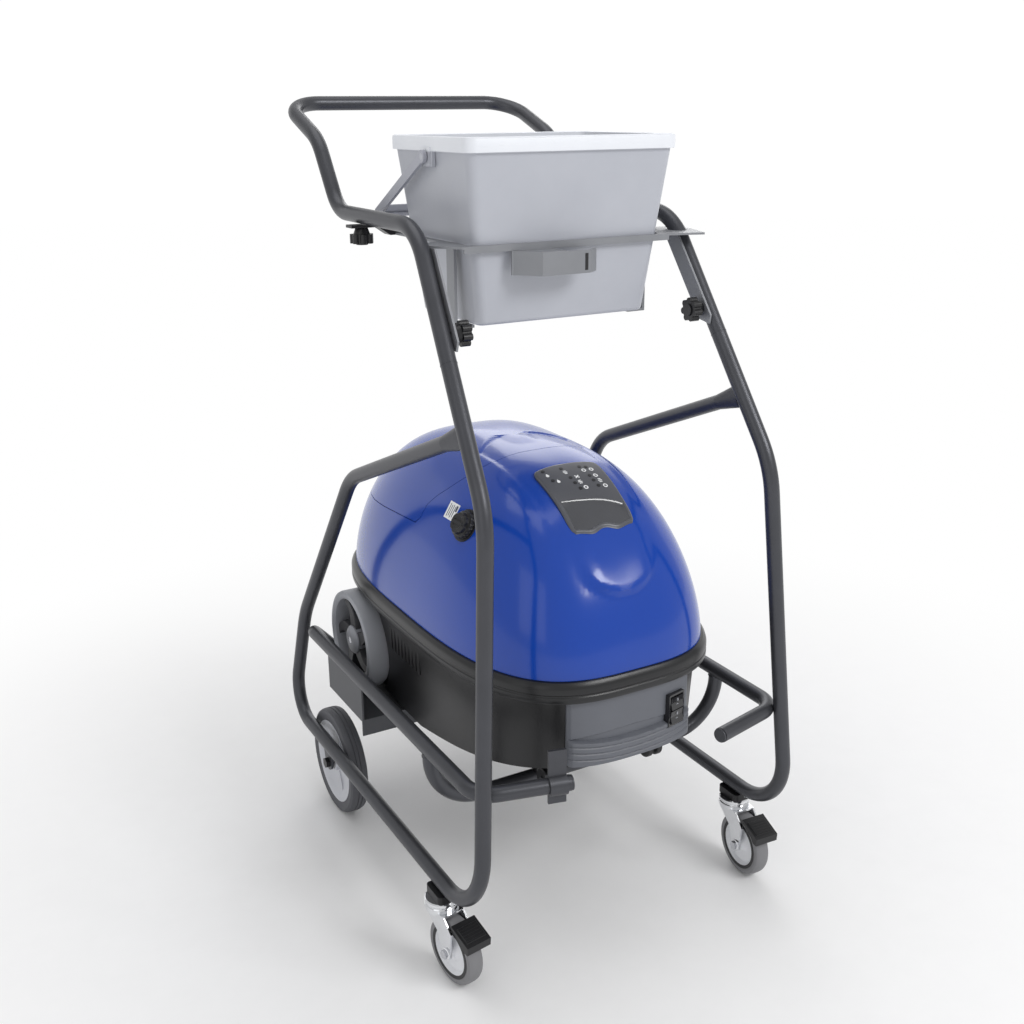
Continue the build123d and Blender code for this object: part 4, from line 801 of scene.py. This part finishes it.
# ------------------------------------------------------------------ bucket details
BKX = 4.0
bk = Build()
for s in (-1, 1):
    # bail ears under the rim
    bk.prism([(-66.0, 1098.0), (-38.0, 1098.0), (-36.0, 1118.0), (-68.0, 1118.0)], (BKX + s * 159.0, 0, 0), (0, 1, 0), (0, 0, 1), (s, 0, 0), -1.0, 5.0, 0, 1.2, 1.2)
bk.done("bucket_bail_ears", [M["bucket"]], "bucket", (), "bucket_plastic", 30)
rm = Build()
pts = []
R = 16.0
for cx, cyy, a0 in ((BKX + 163 - R, 70 - R, 0), (BKX - 163 + R, 70 - R, 90), (BKX - 163 + R, -168 + R, 180), (BKX + 163 - R, -168 + R, 270)):
    for k in range(13):
        a = math.radians(a0 + 7.5 * k)
        pts.append((cx, cyy, math.cos(a), math.sin(a)))
rprof = [(16.5, 1118.2), (16.5, 1133.2), (15.6, 1135.8), (13.4, 1137.0), (11.4, 1136.2), (10.6, 1133.6), (10.4, 1120.0), (14.6, 1118.2)]
rv, rf = [], []
for cx, cyy, c, s_ in pts:
    for rr, z in rprof:
        rv.append((cx + rr * c, cyy + rr * s_, z))
n, m_ = len(rprof), len(pts)
for i in range(m_):
    i2 = (i + 1) % m_
    for j in range(n):
        j2 = (j + 1) % n
        rf.append((i * n + j, i2 * n + j, i2 * n + j2, i * n + j2))
rm.add(rv, rf)
rm.done("bucket_rim_roll", [M["bucket"]], "bucket", (), "bucket_plastic", 34)

# slot in the tool holder's front
th = Build()
th.prism([(1.0, 967.0), (5.5, 967.0), (5.5, 989.0), (1.0, 989.0)], (0, -193.05, 0), (1, 0, 0), (0, 0, 1), (0, -1, 0), -0.4, 0.35)
th.done("holder_slot", [M["black"]], "trolley", (), "black_plastic")

# softened edges on the CAD pieces that keep their own mesh
for nm, w in (("brake_pedal_left", 1.6), ("brake_pedal_right", 1.6), ("switch_bezel", 0.7), ("rocker_upper", 0.6), ("rocker_lower", 0.6),
              ("rear_cross_bar", 0.8), ("bucket_tray", 0.5), ("tool_holder", 0.5), ("rear_shelf", 0.6), ("nose_hook", 0.6), ("caster_mounts", 0.8),
              ("bucket_bail", 0.9), ("clamp_knob_left", 0.9), ("clamp_knob_right", 0.9), ("bar_knob_left", 0.9), ("bar_knob_right", 0.9),
              ("caster_fork_left", 0.5), ("caster_fork_right", 0.5), ("wheel_brackets", 0.5), ("rear_axle_bolts", 0.5)):
    bv = nodes[nm].modifiers.new("edge", "BEVEL")
    bv.width = w * MM
    bv.segments = 2
    bv.limit_method = "ANGLE"
    bv.angle_limit = math.radians(40)
    bv.harden_normals = False

# ------------------------------------------------------------------ camera
yaw, pitch, roll = math.radians(29.11), math.radians(18.71), math.radians(-0.43)
fw = Vector((math.sin(yaw) * math.cos(pitch), math.cos(yaw) * math.cos(pitch), -math.sin(pitch)))
right0 = Vector((math.cos(yaw), -math.sin(yaw), 0))
up0 = right0.cross(fw)
right = right0 * math.cos(roll) + up0 * math.sin(roll)
up = up0 * math.cos(roll) - right0 * math.sin(roll)
cam_data = bpy.data.cameras.new("camera")
cam_data.lens = 41.94
cam_data.sensor_width = 36.0
cam_data.clip_start = 0.05
cam_data.clip_end = 60.0
cam = bpy.data.objects.new("camera", cam_data)
cam.matrix_world = Matrix(((right.x, up.x, -fw.x, -0.8633), (right.y, up.y, -fw.y, -1.5409), (right.z, up.z, -fw.z, 1.1708), (0, 0, 0, 1)))
scene.collection.objects.link(cam)
scene.camera = cam

# ------------------------------------------------------------------ floor and light
floor_me = bpy.data.meshes.new("floor")
floor_me.from_pydata([(-30, -30, 0), (30, -30, 0), (30, 30, 0), (-30, 30, 0)], [], [(0, 1, 2, 3)])
floor = bpy.data.objects.new("floor", floor_me)
scene.collection.objects.link(floor)
fm = surface("floor_pale", (0.88, 0.88, 0.885), 0.75, 0.0, 0.01, 40, 0.0, 0.0, spec=0.0)
fnt = fm.node_tree
fb = next(n for n in fnt.nodes if n.type == "BSDF_PRINCIPLED")
fo = next(n for n in fnt.nodes if n.type == "OUTPUT_MATERIAL")
ftc = fnt.nodes.new("ShaderNodeTexCoord")
fl = fnt.nodes.new("ShaderNodeVectorMath")
fl.operation = "LENGTH"
fnt.links.new(ftc.outputs["Object"], fl.inputs[0])
fmr = fnt.nodes.new("ShaderNodeMapRange")
fmr.interpolation_type = "SMOOTHSTEP"
fmr.inputs["From Min"].default_value = 0.45
fmr.inputs["From Max"].default_value = 1.6
fnt.links.new(fl.outputs["Value"], fmr.inputs[0])
fe = fnt.nodes.new("ShaderNodeEmission")
fe.inputs[0].default_value = (1.0, 1.0, 1.0, 1)
fe.inputs[1].default_value = 1.0
fx = fnt.nodes.new("ShaderNodeMixShader")
fnt.links.new(fmr.outputs[0], fx.inputs[0])
fnt.links.new(fb.outputs[0], fx.inputs[1])
fnt.links.new(fe.outputs[0], fx.inputs[2])
fnt.links.new(fx.outputs[0], fo.inputs[0])
floor_me.materials.append(fm)
# white backdrop far behind, so that the view above the floor is white
bd_me = bpy.data.meshes.new("backdrop")
bx, by = math.sin(yaw), math.cos(yaw)
bd = [(bx * 12.0 - by * 20.0 * k, by * 12.0 + bx * 20.0 * k, z) for k, z in ((1, -0.5), (-1, -0.5), (-1, 8.0), (1, 8.0))]
bd_me.from_pydata(bd, [], [(0, 1, 2, 3)])
backdrop = bpy.data.objects.new("backdrop", bd_me)
scene.collection.objects.link(backdrop)
bm_, bnt, bb = new_mat("backdrop_white")
bn = noise(bnt, 0.5)
br_ = ramp(bnt, bn.outputs[0], [(0.3, (0.995, 0.995, 0.995)), (0.7, (1.0, 1.0, 1.0))])
be = bnt.nodes.new("ShaderNodeEmission")
bnt.links.new(br_.outputs[0], be.inputs[0])
be.inputs[1].default_value = 1.02
bo = next(n for n in bnt.nodes if n.type == "OUTPUT_MATERIAL")
bnt.links.new(be.outputs[0], bo.inputs[0])
bd_me.materials.append(bm_)


def area(name, loc, target, size, power, size_y=None):
    d = bpy.data.lights.new(name, "AREA")
    d.shape = "RECTANGLE"
    d.size = size
    d.size_y = size_y or size
    d.energy = power
    o = bpy.data.objects.new(name, d)
    o.location = loc
    v = Vector(target) - Vector(loc)
    o.rotation_euler = v.to_track_quat("-Z", "Y").to_euler()
    scene.collection.objects.link(o)


area("key", (1.1, -2.6, 2.6), (0, -0.1, 0.6), 1.3, 42, 0.9)
area("fill", (-2.8, -1.6, 1.8), (0, 0, 0.6), 2.0, 8)
area("top", (-0.2, 0.5, 3.4), (0, 0, 0.4), 2.2, 20)
area("back", (1.8, 2.6, 2.2), (0, 0, 0.7), 1.6, 14)
world = bpy.data.worlds.new("world")
world.use_nodes = True
wn = world.node_tree.nodes["Background"]
wn.inputs[0].default_value = (1.0, 1.0, 1.0, 1)
wn.inputs[1].default_value = 0.62
scene.world = world
scene.view_settings.view_transform = "Standard"
